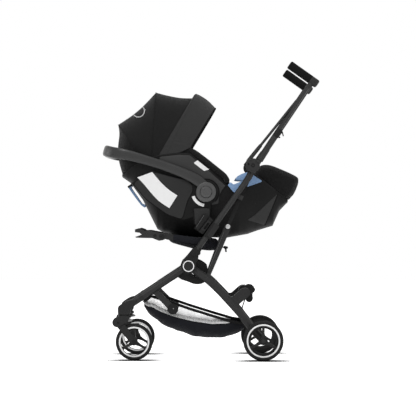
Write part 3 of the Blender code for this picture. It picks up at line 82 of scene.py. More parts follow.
def tone(red, green=None, blue=None):
    """A colour given as it shows on screen, from 0 to 255."""
    shown = (red, red if green is None else green, red if blue is None else blue)
    return tuple(((v / 255 + 0.055) / 1.055) ** 2.4 if v > 10 else v / 255 / 12.92 for v in shown)


def noise(tree, coords, scale, detail=2.0):
    node = tree.nodes.new("ShaderNodeTexNoise")
    node.inputs["Scale"].default_value = scale
    node.inputs["Detail"].default_value = detail
    tree.links.new(coords, node.inputs["Vector"])
    return node.outputs["Fac"]


def ramp(tree, value, stops):
    node = tree.nodes.new("ShaderNodeValToRGB")
    node.color_ramp.elements[0].position = stops[0][0]
    node.color_ramp.elements[0].color = stops[0][1]
    node.color_ramp.elements[1].position = stops[-1][0]
    node.color_ramp.elements[1].color = stops[-1][1]
    for position, colour in stops[1:-1]:
        node.color_ramp.elements.new(position).color = colour
    tree.links.new(value, node.inputs["Fac"])
    return node.outputs["Color"]


def maths(tree, kind, a, b):
    node = tree.nodes.new("ShaderNodeMath")
    node.operation = kind
    for socket, value in zip(node.inputs, (a, b)):
        if isinstance(value, (int, float)):
            socket.default_value = value
        else:
            tree.links.new(value, socket)
    return node.outputs[0]


def weave_height(tree, coords, pitch):
    """A plain weave of threads that runs through space, so that it needs no unwrapping."""
    scale = tree.nodes.new("ShaderNodeVectorMath")
    scale.operation = "SCALE"
    scale.inputs["Scale"].default_value = 2 * math.pi / pitch
    tree.links.new(coords, scale.inputs[0])
    wave = tree.nodes.new("ShaderNodeVectorMath")
    wave.operation = "SINE"
    tree.links.new(scale.outputs[0], wave.inputs[0])
    parts = tree.nodes.new("ShaderNodeSeparateXYZ")
    tree.links.new(wave.outputs[0], parts.inputs[0])
    x, y, z = parts.outputs
    return maths(tree, "ADD", maths(tree, "MULTIPLY", x, z), maths(tree, "MULTIPLY", y, maths(tree, "ADD", x, z)))


def surface(name, shade, rough, specular=0.2, metallic=0.0, vary=0.1, grain=1300.0, depth=0.00005,
            pitch=0.0, fuzz=0.0, scuff=0.0):
    """A finish with cloudy colour, uneven gloss and a grain or weave in its relief."""
    colour = tone(*shade) if isinstance(shade, tuple) else tone(shade)
    made = bpy.data.materials.new(name)
    made.use_nodes = True
    tree = made.node_tree
    shader = tree.nodes["Principled BSDF"]
    shader.inputs["Metallic"].default_value = metallic
    shader.inputs["Specular IOR Level"].default_value = specular
    shader.inputs["Sheen Weight"].default_value = fuzz
    shader.inputs["Sheen Roughness"].default_value = 0.45
    coords = tree.nodes.new("ShaderNodeTexCoord").outputs["Object"]
    cloud = noise(tree, coords, 11.0, 5.0)
    fine = noise(tree, coords, grain, 3.0)
    blend = maths(tree, "ADD", maths(tree, "MULTIPLY", cloud, 0.75), maths(tree, "MULTIPLY", fine, 0.25))
    dark = (*(c * (1 - vary) for c in colour), 1.0)
    light = (*(c * (1 + vary) for c in colour), 1.0)
    stops = [(0.32, dark), (0.68, light)]
    if scuff:
        stops.append((0.78, (*(c * (1 + vary) + scuff * 0.05 for c in colour), 1.0)))
    tree.links.new(ramp(tree, blend, stops), shader.inputs["Base Color"])
    gloss = maths(tree, "MULTIPLY", maths(tree, "SUBTRACT", blend, 0.5), 0.35)
    tree.links.new(maths(tree, "ADD", gloss, rough), shader.inputs["Roughness"])
    height = weave_height(tree, coords, pitch) if pitch else fine
    bump = tree.nodes.new("ShaderNodeBump")
    bump.inputs["Strength"].default_value = 1.0
    bump.inputs["Distance"].default_value = depth
    tree.links.new(height, bump.inputs["Height"])
    tree.links.new(bump.outputs["Normal"], shader.inputs["Normal"])
    return made


def cloth(name, shade, rough, specular, pitch, fuzz=0.0, vary=0.12, grain=900.0, depth=0.00012):
    return surface(name, shade, rough, specular, vary=vary, grain=grain, depth=depth, pitch=pitch, fuzz=fuzz)


FRAME_PAINT = surface("satin_charcoal_paint", 37, 0.5, 0.22, 0.2, grain=1400.0, depth=0.00003, scuff=0.3)
DARK_PAINT = surface("satin_black_paint", 28, 0.45, 0.25, 0.2, grain=1400.0, depth=0.00003)
PLASTIC = surface("moulded_black_plastic", 15, 0.55, 0.16, vary=0.12, grain=1100.0, depth=0.00007)
CASTER_PLASTIC = surface("moulded_charcoal_plastic", 28, 0.5, 0.18, vary=0.12, grain=1100.0, depth=0.00007)
SHELL_PLASTIC = surface("shell_plastic", 15, 0.6, 0.12, vary=0.12)
# A lighter grey laid on the shell's foot end as painted highlight.
FACET_HIGHLIGHT = surface("facet_painted_highlight", 36, 0.5, vary=0.12)
PANEL_PLASTIC = surface("panel_plastic", 28, 0.5, depth=0.00006)
UPPER_PLASTIC = surface("upper_panel_plastic", 44, 0.5, depth=0.00006)
RAIL_PLASTIC = surface("rail_fork_plastic", 36, 0.5, depth=0.00006)
CARRY_PLASTIC = surface("carry_handle_plastic", 36, 0.36, 0.35, vary=0.08, grain=1500.0, depth=0.00004)
DISC_PLASTIC = surface("disc_plastic", 62, 0.36, 0.4, vary=0.08, grain=1500.0, depth=0.00004)
LEVER_PLASTIC = surface("lever_plastic", 126, 0.45, 0.3, vary=0.08, grain=900.0, depth=0.00006)
FOAM = surface("grip_foam", 17, 0.92, 0.12, vary=0.18, grain=1700.0, depth=0.00022)
RUBBER = surface("tyre_rubber", 33, 0.82, 0.16, vary=0.14, grain=900.0, depth=0.00012)
RIM = surface("rim_plastic", 22, 0.45)
RING = surface("reflective_ring", 236, 0.38, 0.4, vary=0.04, grain=2600.0, depth=0.00003)
EMBLEM = surface("emblem_ring", 176, 0.5, 0.3, vary=0.04, grain=2600.0, depth=0.00003)
LABEL = surface("bare_label", 226, 0.5, 0.3, vary=0.02, grain=1800.0, depth=0.00002)
HOOD = cloth("hood_cloth", 22, 0.86, 0.14, 0.0012, 0.08)
VISOR = cloth("visor_cloth", 44, 0.8, 0.2, 0.0012, 0.05, 0.1)
MUFF = cloth("muff_cloth", 20, 0.88, 0.14, 0.0013, 0.03, depth=0.00014)
LINER = cloth("liner_knit", 21, 0.92, 0.12, 0.0022, 0.05, 0.16, 800.0, 0.00022)
PAD_CLOTH = cloth("head_pad_knit", 48, 0.92, 0.15, 0.002, 0.08, 0.14, 800.0, 0.0002)
# Near-black, for the visor's real binding and for thin lines of painted shade in creases and recesses.
BINDING_AND_SHADE = cloth("binding_and_painted_shade", 10, 0.85, 0.1, 0.001, vary=0.16)
BASKET = cloth("basket_cloth", (20, 21, 26), 0.8, 0.15, 0.0014, 0.04, 0.16, 700.0, 0.00015)
NET = cloth("basket_net", 240, 0.8, 0.2, 0.0008, vary=0.08, depth=0.0001)
PIPING = cloth("piping", 13, 0.7, 0.16, 0.0009, vary=0.14)
WEBBING = cloth("webbing", 26, 0.8, 0.16, 0.0016, vary=0.14, depth=0.0002)
THREAD = surface("thread", 44, 0.8, 0.16, grain=900.0)
BLUE = surface("blue_plastic", (122, 152, 190), 0.45, 0.3, vary=0.06, grain=900.0, depth=0.00006)
STEEL = surface("brushed_steel", 165, 0.4, 0.5, 0.6, vary=0.06, grain=1500.0, depth=0.00003)
# A light grey kept for thin lines of painted highlight along edges.
PAINTED_GLINT = surface("painted_edge_glint", 96, 0.4, 0.35, vary=0.08, grain=1500.0, depth=0.00004)


def paint(material, *names):
    for name in names:
        for slot in NODES[name].material_slots:
            slot.material = material


# ---------------------------------------------------------------- geometry helpers


def ring(count, power=1.0, up_power=None):
    """Cosine and sine of a round's points, squared off by a power under 1."""
    up_power = power if up_power is None else up_power
    made = []
    for k in range(count):
        turn = 2 * math.pi * k / count
        c, s = math.cos(turn), math.sin(turn)
        made.append((math.copysign(abs(c) ** power, c), math.copysign(abs(s) ** up_power, s)))
    return made


def add(name, mesh, material, angle=35.0):
    mesh.materials.clear()
    mesh.materials.append(material)
    mesh.shade_smooth()
    mesh.set_sharp_from_angle(angle=math.radians(angle))
    return link(bpy.data.objects.new(name, mesh))


def settle(obj, angle=None):
    """Turns an object's modifiers into its mesh."""
    bpy.context.view_layer.update()
    graph = bpy.context.evaluated_depsgraph_get()
    mesh = bpy.data.meshes.new_from_object(obj.evaluated_get(graph))
    old = obj.data
    obj.modifiers.clear()
    obj.data = mesh
    bpy.data.meshes.remove(old)
    if angle is not None:
        mesh.shade_smooth()
        mesh.set_sharp_from_angle(angle=math.radians(angle))
    return obj


def mesh_from(name, verts, faces, outward=False):
    bm = bmesh.new()
    made = [bm.verts.new(v) for v in verts]
    for face in faces:
        bm.faces.new([made[i] for i in face])
    bmesh.ops.remove_doubles(bm, verts=bm.verts, dist=1e-6)
    bmesh.ops.dissolve_degenerate(bm, edges=bm.edges, dist=1e-7)
    bmesh.ops.recalc_face_normals(bm, faces=bm.faces)
    if outward:
        centre = sum((v.co for v in bm.verts), Vector()) / len(bm.verts)
        facing = sum(f.normal.dot(f.calc_center_median() - centre) * f.calc_area() for f in bm.faces)
        if facing < 0:
            bmesh.ops.reverse_faces(bm, faces=bm.faces)
    mesh = bpy.data.meshes.new(name)
    bm.to_mesh(mesh)
    bm.free()
    return mesh


def loft(name, rows, material, closed=False, caps=False, thickness=0.0, angle=60.0):
    """Quads between rows of points. A sheet gets its thickness on its inner side."""
    count = len(rows[0])
    verts = [point for row in rows for point in row]
    faces = []
    for r in range(len(rows) - 1):
        for i in range(count if closed else count - 1):
            j = (i + 1) % count
            faces.append((r * count + i, r * count + j, (r + 1) * count + j, (r + 1) * count + i))
    if caps:
        faces.append(tuple(range(count)))
        faces.append(tuple((len(rows) - 1) * count + i for i in reversed(range(count))))
    obj = add(name, mesh_from(name, verts, faces, not closed), material, angle)
    if thickness:
        wall = obj.modifiers.new("wall", "SOLIDIFY")
        wall.thickness = thickness
        wall.offset = -1
        wall.use_even_offset = True
        settle(obj, angle)
    return obj


def spline(points, per=6):
    """Points on a smooth line through the given ones."""
    points = [tuple(p) for p in points]
    padded = [points[0]] + points + [points[-1]]
    made = []
    for a, b, c, d in zip(padded, padded[1:], padded[2:], padded[3:]):
        for k in range(per):
            t = k / per
            made.append(
                tuple(
                    0.5 * (2 * q + (r - p) * t + (2 * p - 5 * q + 4 * r - s) * t**2 + (3 * q - p - 3 * r + s) * t**3)
                    for p, q, r, s in zip(a, b, c, d)
                )
            )
    made.append(points[-1])
    return made


def sweep(name, points, radius, material, sides=12, flat=1.0, closed=False, up=(0, 0, 1)):
    """A bar along a line. Its radius may change along it, and flat is its height over its width."""
    points = [Vector(p) for p in points]
    radii = radius if isinstance(radius, (list, tuple)) else [radius] * len(points)
    lift = Vector(up)
    rows = []
    last = len(points) - 1
    for i, point in enumerate(points):
        if closed:
            ahead, behind = points[(i + 1) % len(points)], points[i - 1]
        else:
            ahead, behind = points[min(i + 1, last)], points[max(i - 1, 0)]
        heading = (ahead - behind).normalized()
        lift = (lift - heading * lift.dot(heading)).normalized()
        across = heading.cross(lift)
        rows.append([tuple(point + across * (c * radii[i]) + lift * (s * radii[i] * flat)) for c, s in ring(sides)])
    if closed:
        rows.append(rows[0])
    return loft(name, rows, material, closed=True, caps=not closed)


def lathe(name, at, profile, material, sides=56, loop=False, angle=32.0):
    """A turned piece about the line along Y through a point of the side view."""
    stations = profile + profile[:1] if loop else profile
    rows = [[(at[0] + radius * c, y, at[1] + radius * s) for c, s in ring(sides)] for y, radius in stations]
    return loft(name, rows, material, closed=True, caps=not loop, angle=angle)


def plate(name, outlines, y0, y1, material, bevel=0.0, segments=3):
    """A flat piece of the side view, with rounded rims."""
    curve = bpy.data.curves.new(name, "CURVE")
    curve.dimensions = "2D"
    curve.fill_mode = "BOTH"
    curve.extrude = abs(y1 - y0) / 2
    for outline in outlines:
        line = curve.splines.new("POLY")
        line.points.add(len(outline) - 1)
        for target, (x, z) in zip(line.points, outline):
            target.co = (x, z, 0.0, 1.0)
        line.use_cyclic_u = True
    holder = link(bpy.data.objects.new(name + "_outline", curve))
    bpy.context.view_layer.update()
    mesh = bpy.data.meshes.new_from_object(holder.evaluated_get(bpy.context.evaluated_depsgraph_get()))
    mesh.transform(Matrix.Translation((0, (y0 + y1) / 2, 0)) @ Matrix.Rotation(math.pi / 2, 4, "X"))
    bpy.data.objects.remove(holder)
    bm = bmesh.new()
    bm.from_mesh(mesh)
    bmesh.ops.remove_doubles(bm, verts=bm.verts, dist=1e-5)
    bmesh.ops.dissolve_limit(bm, angle_limit=0.01, verts=bm.verts, edges=bm.edges)
    bmesh.ops.recalc_face_normals(bm, faces=bm.faces)
    bm.to_mesh(mesh)
    bm.free()
    obj = add(name, mesh, material, 32)
    if bevel:
        rim = obj.modifiers.new("rim", "BEVEL")
        rim.width = bevel
        rim.segments = segments
        rim.limit_method = "ANGLE"
        rim.angle_limit = math.radians(50)
        settle(obj, 32)
    return obj


def skin(name, target, rows, side, material, lift, thickness):
    """A thin sheet that lies on the side of a piece, from rows of points of the side view."""
    mesh = target.data
    tree = BVHTree.FromPolygons([v.co for v in mesh.vertices], [tuple(p.vertices) for p in mesh.polygons])
    laid = []
    for row in rows:
        line = []
        for x, z in row:
            spot, normal, _, _ = tree.ray_cast(Vector((x, side * 1.0, z)), Vector((0, -side, 0)))
            if spot is None:
                spot, normal, _, _ = tree.find_nearest(Vector((x, side * 0.12, z)))
            if normal.y * side < 0:
                normal = -normal
            line.append(tuple(spot + normal * lift))
        laid.append(line)
    obj = loft(name, laid, material)
    wall = obj.modifiers.new("wall", "SOLIDIFY")
    wall.thickness = thickness
    wall.offset = 0
    return settle(obj, 60.0)


def fan(a, b, count_along, count_across):
    """Rows of points between two lines, each given by its corners."""
    def spaced(line):
        lengths = [math.dist(p, q) for p, q in zip(line, line[1:])]
        made = []
        for i in range(count_along + 1):
            left = sum(lengths) * i / count_along
            for k, length in enumerate(lengths):
                if left <= length or k == len(lengths) - 1:
                    made.append(along(line[k], line[k + 1], min(1.0, left / length)))
                    break
                left -= length
        return made

    pairs = list(zip(spaced(a), spaced(b)))
    return [[along(p, q, i / count_across) for p, q in pairs] for i in range(count_across + 1)]


def puff(obj, voxel, cap, inset=0.0015, pressure=4.0):
    """Blows a padded piece up as cloth, and keeps each point within a short way of its form."""
    scene = bpy.context.scene
    for vertex in obj.data.vertices:
        vertex.co -= vertex.normal * inset
    remesh = obj.modifiers.new("even", "REMESH")
    remesh.mode = "VOXEL"
    remesh.voxel_size = voxel
    settle(obj, 60)
    rest = [vertex.co.copy() for vertex in obj.data.vertices]
    cloth = obj.modifiers.new("cloth", "CLOTH")
    cloth.settings.quality = 4
    cloth.settings.mass = 0.2
    cloth.settings.tension_stiffness = cloth.settings.compression_stiffness = 12
    cloth.settings.bending_stiffness = 0.4
    cloth.settings.use_pressure = True
    cloth.settings.uniform_pressure_force = pressure
    cloth.settings.effector_weights.gravity = 0
    for tick in range(1, 21):
        scene.frame_set(tick)
    blown = obj.evaluated_get(bpy.context.evaluated_depsgraph_get())
    moved = [vertex.co.copy() for vertex in blown.data.vertices]
    obj.modifiers.remove(cloth)
    for vertex, old, new in zip(obj.data.vertices, rest, moved):
        way = new - old
        vertex.co = old + way * min(1.0, cap / max(way.length, 1e-6))
    scene.frame_set(1)
    obj.modifiers.new("finer", "SUBSURF").levels = 1
    return settle(obj, 60)


def merge(name, *objects):
    """One piece from several that move as one."""
    bm = bmesh.new()
    materials = []
    for obj in objects:
        material = obj.data.materials[0]
        if material not in materials:
            materials.append(material)
        first = len(bm.faces)
        bm.from_mesh(obj.data)
        bm.faces.ensure_lookup_table()
        for face in bm.faces[first:]:
            face.material_index = materials.index(material)
    mesh = bpy.data.meshes.new(name)
    bm.to_mesh(mesh)
    bm.free()
    for material in materials:
        mesh.materials.append(material)
    for obj in objects:
        bpy.data.objects.remove(obj)
    return link(bpy.data.objects.new(name, mesh))


def dress(obj, body, slot, *nodes):
    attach(obj, body)
    if nodes:
        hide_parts(*nodes)
    return obj


def circle(centre, radius, count=40):
    return [(centre[0] + radius * c, centre[1] + radius * s) for c, s in ring(count)]


def arc(centre, radius, first, last, count):
    """Points from one angle to another, in degrees."""
    turns = [math.radians(first + (last - first) * i / (count - 1)) for i in range(count)]
    return [(centre[0] + radius * math.cos(t), centre[1] + radius * math.sin(t)) for t in turns]


def capsule(a, b, radius, end_radius=None, count=14):
    end_radius = radius if end_radius is None else end_radius
    angle = math.degrees(math.atan2(b[1] - a[1], b[0] - a[0]))
    return arc(a, radius, angle + 90, angle + 270, count) + arc(b, end_radius, angle - 90, angle + 90, count)


def polar(origin, angle, distance, lift=0.0):
    """A point at a distance along a slope, and lifted square to it."""
    return (
        origin[0] + distance * math.cos(angle) - lift * math.sin(angle),
        origin[1] + distance * math.sin(angle) + lift * math.cos(angle),
    )


def along(a, b, share):
    return tuple(p + (q - p) * share for p, q in zip(a, b))


def slope_of(a, b):
    return math.atan2(b[1] - a[1], b[0] - a[0])


def rounded(outline, share=0.25, per=4):
    """An outline with its corners eased."""
    made = []
    for before, here, after in zip(outline[-1:] + outline[:-1], outline, outline[1:] + outline[:1]):
        a, c = along(here, before, share), along(here, after, share)
        for k in range(per + 1):
            t = k / per
            made.append(tuple((1 - t) ** 2 * p + 2 * t * (1 - t) * q + t**2 * r for p, q, r in zip(a, here, c)))
    return made


def between(table, x):
    """The value of a table of (position, value) at a position."""
    if x <= table[0][0]:
        return table[0][1]
    for (x0, v0), (x1, v1) in zip(table, table[1:]):
        if x <= x1:
            return v0 + (v1 - v0) * (x - x0) / (x1 - x0)
    return table[-1][1]


def steps(first, last, pitch):
    count = max(1, round((last - first) / pitch))
    return [first + (last - first) * i / count for i in range(count + 1)]


def pair(side, inner, outer, base=0.0):
    """The two depths of a layer, the lower one first."""
    return tuple(sorted((base + side * inner, base + side * outer)))


def at_depth(points, y):
    return [(x, y, z) for x, z in points]


def turned(face, side, *stations):
    """A lathe's profile from pairs of rise and radius, outward from a face."""
    return [(face + side * rise, radius) for rise, radius in stations]


# ---------------------------------------------------------------- frame

HUB = (-0.074, 0.329)
HINGE = (0.1495, 0.679)
FRONT_LEG_FOOT = (-0.272, 0.198)
HUB_SOCKET_TOP = (-0.044, 0.386)
PUSH_TUBE_BEND = (0.138, 0.641)
LEG_SLOPE = slope_of(HUB, FRONT_LEG_FOOT)
PUSH_SLOPE = slope_of(HUB_SOCKET_TOP, PUSH_TUBE_BEND)
POLE_SLOPE = math.radians(54.66)
KNEE = (0.0632, 0.4667)
STRUT_FOOT = (-0.0043, 0.2972)
REAR_BAR = (0.126, 0.238)
REAR_BAR_RADIUS = 0.011
POLE_Y = 0.2235
PUSH_TUBE_Y = 0.2
REAR_LEG_Y = 0.184
REAR_LEG_RADIUS = 0.012
HOUSING_OUTER_Y = 0.2085
TUBE_RADIUS = 0.0125
HUB_BORE = 0.0063

HOUSING_OUTLINE = (
    [(-0.032, 0.396), (-0.053, 0.395), (-0.08, 0.3612)]
    + arc(HUB, 0.0265, 135, 382, 40)
    + [(-0.04, 0.356), (-0.0385, 0.37), (-0.0277, 0.3867)]
)
LATCH_OUTLINE = [
    (-0.098, 0.345), (-0.1057, 0.3215), (-0.1167, 0.2932), (-0.0989, 0.2806), (-0.0747, 0.2726),
    (-0.0586, 0.266), (-0.0425, 0.2638), (-0.0276, 0.266), (-0.0172, 0.2716), (-0.0088, 0.2882),
    (-0.006, 0.3084), (-0.0088, 0.3285), (-0.0319, 0.345), (-0.062, 0.352), (-0.086, 0.352),
]
LATCH_WINDOW = [
    (-0.068, 0.301), (-0.062, 0.293), (-0.052, 0.2885), (-0.044, 0.2925), (-0.05, 0.3), (-0.06, 0.3045),
]
LATCH_INNER_Y = 0.1309
LATCH_OUTER_Y = 0.1449
HUB_FACE = (
    ("badge", PLASTIC, "black_plastic", False, (
        (-0.001, 0.0218), (0.001, 0.0218), (0.0018, 0.021), (0.0018, 0.0202), (0.001, 0.0199), (0.001, 0.0002),
    )),
    ("ring", RING, "rim_plastic", True, (
        (0.0006, 0.0198), (0.0016, 0.0196), (0.002, 0.0188), (0.0019, 0.0172), (0.0014, 0.0165), (0.0006, 0.0163),
    )),
    ("disc", RIM, "black_plastic", False, ((0.0006, 0.016), (0.0012, 0.0156), (0.0016, 0.011), (0.0017, 0.0002))),
)
BASKET_BOSS = (-0.129, 0.178)


def make_hub(word, side):
    body = plate("hub_body", [HOUSING_OUTLINE], *pair(side, 0.1968, HOUSING_OUTER_Y), PLASTIC, 0.0026, 4)
    tube = at_depth([polar(HUB_SOCKET_TOP, PUSH_SLOPE, -0.026), HUB_SOCKET_TOP], side * PUSH_TUBE_Y)
    socket = sweep("hub_socket", tube, TUBE_RADIUS, PLASTIC, 28)
    pin = lathe("hub_pin", HUB, [(side * 0.1295, 0.0058), (side * 0.205, 0.006)], PLASTIC, 24)
    dress(merge("hub_housing_body_" + word, body, socket, pin), "frame", "black_plastic", "hub_housing_" + word)
    for name, material, slot, loop, stations in HUB_FACE:
        profile = turned(side * HOUSING_OUTER_Y, side, *stations)
        dress(lathe(f"hub_{name}_{word}", HUB, profile, material, 72, loop=loop), "frame", slot)


def make_front_leg(word, side):
    """The front leg with its knuckle, and the bracket that carries the basket's boss."""
    start = polar(HUB, LEG_SLOPE, 0.0165)
    tube = [(start[0], side * 0.1585, start[1]), (FRONT_LEG_FOOT[0], side * 0.17, FRONT_LEG_FOOT[1])]
    pieces = [sweep("leg_tube", tube, TUBE_RADIUS, FRAME_PAINT, 36)]
    outlines = [circle(HUB, 0.024, 48), circle(HUB, HUB_BORE, 24)]
    pieces.append(plate("leg_knuckle", outlines, *pair(side, 0.1455, 0.1715), FRAME_PAINT, 0.001, 3))
    stem = capsule(along(HUB, FRONT_LEG_FOOT, 0.625), BASKET_BOSS, 0.0105, 0.0112)
    for outline, material in ((stem, FRAME_PAINT), (circle(BASKET_BOSS, 0.019, 40), PLASTIC)):
        pieces.append(plate("leg_bracket", [outline], *pair(side, 0.147, 0.1688), material, 0.0015, 3))
    dress(merge("front_leg_body_" + word, *pieces), "frame", "frame_paint", "front_leg_" + word)


def make_latch():
    reach = LATCH_INNER_Y + 0.0035
    pieces = [sweep("latch_bar", [(-0.026, -reach, 0.296), (-0.026, reach, 0.296)], 0.006, DARK_PAINT, 28)]
    outlines = [rounded(LATCH_OUTLINE, 0.3), rounded(LATCH_WINDOW, 0.25), circle(HUB, HUB_BORE, 28)]
    for _, side in SIDES:
        pieces.append(plate("latch_plate", outlines, *pair(side, LATCH_INNER_Y, LATCH_OUTER_Y), PLASTIC, 0.0026, 4))
    dress(merge("fold_latch_body", *pieces), "frame", "black_plastic", "fold_latch")
    # A near-white crescent on each latch plate below the hub is a painted highlight.
    glint = arc(HUB, 0.0262, -134, -64, 20) + arc(HUB, 0.024, -64, -134, 20)
    for word, side in SIDES:
        glint_plate = plate("latch_glint_" + word, [glint], *pair(side, -0.0002, 0.0005, side * LATCH_OUTER_Y), RING)
        dress(glint_plate, "frame", "rim_plastic")


CASTER_OUTLINE = [
    (-0.315, 0.1582), (-0.3199, 0.164), (-0.3203, 0.1828), (-0.317, 0.19), (-0.2961, 0.2045),
    (-0.285, 0.2095), (-0.27, 0.212), (-0.254, 0.208), (-0.256, 0.196), (-0.273, 0.1839), (-0.2762, 0.1667),
    (-0.28, 0.1582),
]
CASTER_Y = 0.175
SUSPENSION = (-0.318, 0.131)
FRONT_AXLE = (-0.2636, 0.0645)
REAR_AXLE = (0.186, 0.07)
REAR_WHEEL_Y = 0.2125
CASTER_HALF = 0.022
YOKE_AXIS_X = -0.2975
ARM_OUTER = 0.0186
YOKE_DISC = ((0.1477, 0.0205), (0.1487, 0.0225), (0.1567, 0.0225), (0.1577, 0.0215))
LEVER_OUTLINE = [
    (-0.302, 0.137), (-0.3, 0.1467), (-0.283, 0.1467), (-0.269, 0.142), (-0.27, 0.1375), (-0.286, 0.135),
]


def make_caster(word, side):
    y = side * CASTER_Y
    outline = rounded(CASTER_OUTLINE, 0.3)
    body = plate("caster_body", [outline], y - CASTER_HALF, y + CASTER_HALF, CASTER_PLASTIC, 0.007, 5)
    seam = [along((-0.295, 0.185), p, 0.93) for p in CASTER_OUTLINE[1:5]]
    groove = sweep("caster_seam", at_depth(spline(seam, 4), y + side * 0.0215), 0.0009, PLASTIC, 8)
    root = polar(FRONT_LEG_FOOT, LEG_SLOPE, -0.045)
    tip = polar(root, LEG_SLOPE, 0.011)
    tube = [(root[0], side * 0.168, root[1]), (tip[0], side * 0.1688, tip[1])]
    collar = sweep("caster_collar", tube, 0.0134, CASTER_PLASTIC, 28)
    housing = merge("caster_housing_body_" + word, body, groove, collar)
    dress(housing, "frame", "black_plastic", "caster_housing_" + word)
    rows = []
    for z, radius in YOKE_DISC:
        rows.append([(YOKE_AXIS_X + radius * c, y + radius * s, z) for c, s in ring(48)])
    swivel = loft("yoke_disc", rows, CASTER_PLASTIC, closed=True, caps=True, angle=35)
    cheek = arc(polar(SUSPENSION, math.pi, 0.0045, -0.002), 0.0167, 110, 290, 24)
    cheek += [(-0.296, 0.129), (-0.285, 0.135), (-0.279, 0.1497), (-0.283, 0.1557), (-0.315, 0.1557)]
    outlines = [cheek, circle(SUSPENSION, 0.0043, 16)]
    cheeks = [plate("cheek", outlines, *pair(d, 0.019, 0.0235, y), CASTER_PLASTIC, 0.0012, 3) for d in (-1, 1)]
    yoke = merge("caster_yoke_body_" + word, swivel, *cheeks)
    dress(yoke, "caster_" + word, "black_plastic", "caster_yoke_" + word)
    make_fork(word, y)
    outline = rounded(LEVER_OUTLINE, 0.2)
    lever = plate("swivel_lever_" + word, [outline], y - 0.0187, y + 0.0187, LEVER_PLASTIC, 0.001, 3)
    dress(lever, "swivel_lock_" + word, "grey_plastic", "swivel_lock_" + word)


def make_fork(word, y):
    def bend(centre, radius, *angles):
        return [polar(centre, math.radians(angle), radius) for angle in angles]

    outline = bend(SUSPENSION, 0.014, 150, 95) + bend(SUSPENSION, 0.0142, 35) + [(-0.283, 0.108), (-0.256, 0.077)]
    outline += bend(FRONT_AXLE, 0.0128, 20, -15, -55, -95, -135) + [(-0.292, 0.08), (-0.319, 0.113)]
    outline += bend(SUSPENSION, 0.014, 205)
    cap = ((-0.001, 0.0086), (0.001, 0.0084), (0.0016, 0.007), (0.0016, 0.0003))
    pieces = []
    for d in (-1, 1):
        pieces.append(plate("arm", [rounded(outline, 0.3)], *pair(d, 0.014, ARM_OUTER, y), CASTER_PLASTIC, 0.0016, 3))
        pieces.append(lathe("axle_cap", FRONT_AXLE, turned(y + d * ARM_OUTER, d, *cap), PLASTIC, 32))
    for at, half, radius, material, sides in (
        (SUSPENSION, 0.0185, 0.011, CASTER_PLASTIC, 32),
        (SUSPENSION, 0.0235, 0.004, PLASTIC, 20),
        (FRONT_AXLE, 0.019, 0.004, STEEL, 20),
    ):
        pieces.append(lathe("fork_pin", at, [(y - half, radius), (y + half, radius)], material, sides))
    arm = "suspension_arm_" + word
    dress(merge("suspension_fork_" + word, *pieces), arm, "black_plastic", arm)


TREAD_EDGE = ((0.97, 0.0034), (0.86, 0.0015), (0.62, 0.0003), (0.36, 0.0), (0.34, 0.0012), (0.22, 0.0012), (0.2, 0.0))
TYRE_SIDES = 96
NOTCH = 0.0009
RING_SECTION = (
    (-0.0005, 0.0064), (0.0005, 0.0062), (0.0008, 0.0054), (0.0008, 0.0018), (0.0005, 0.001), (-0.0005, 0.0008),
)


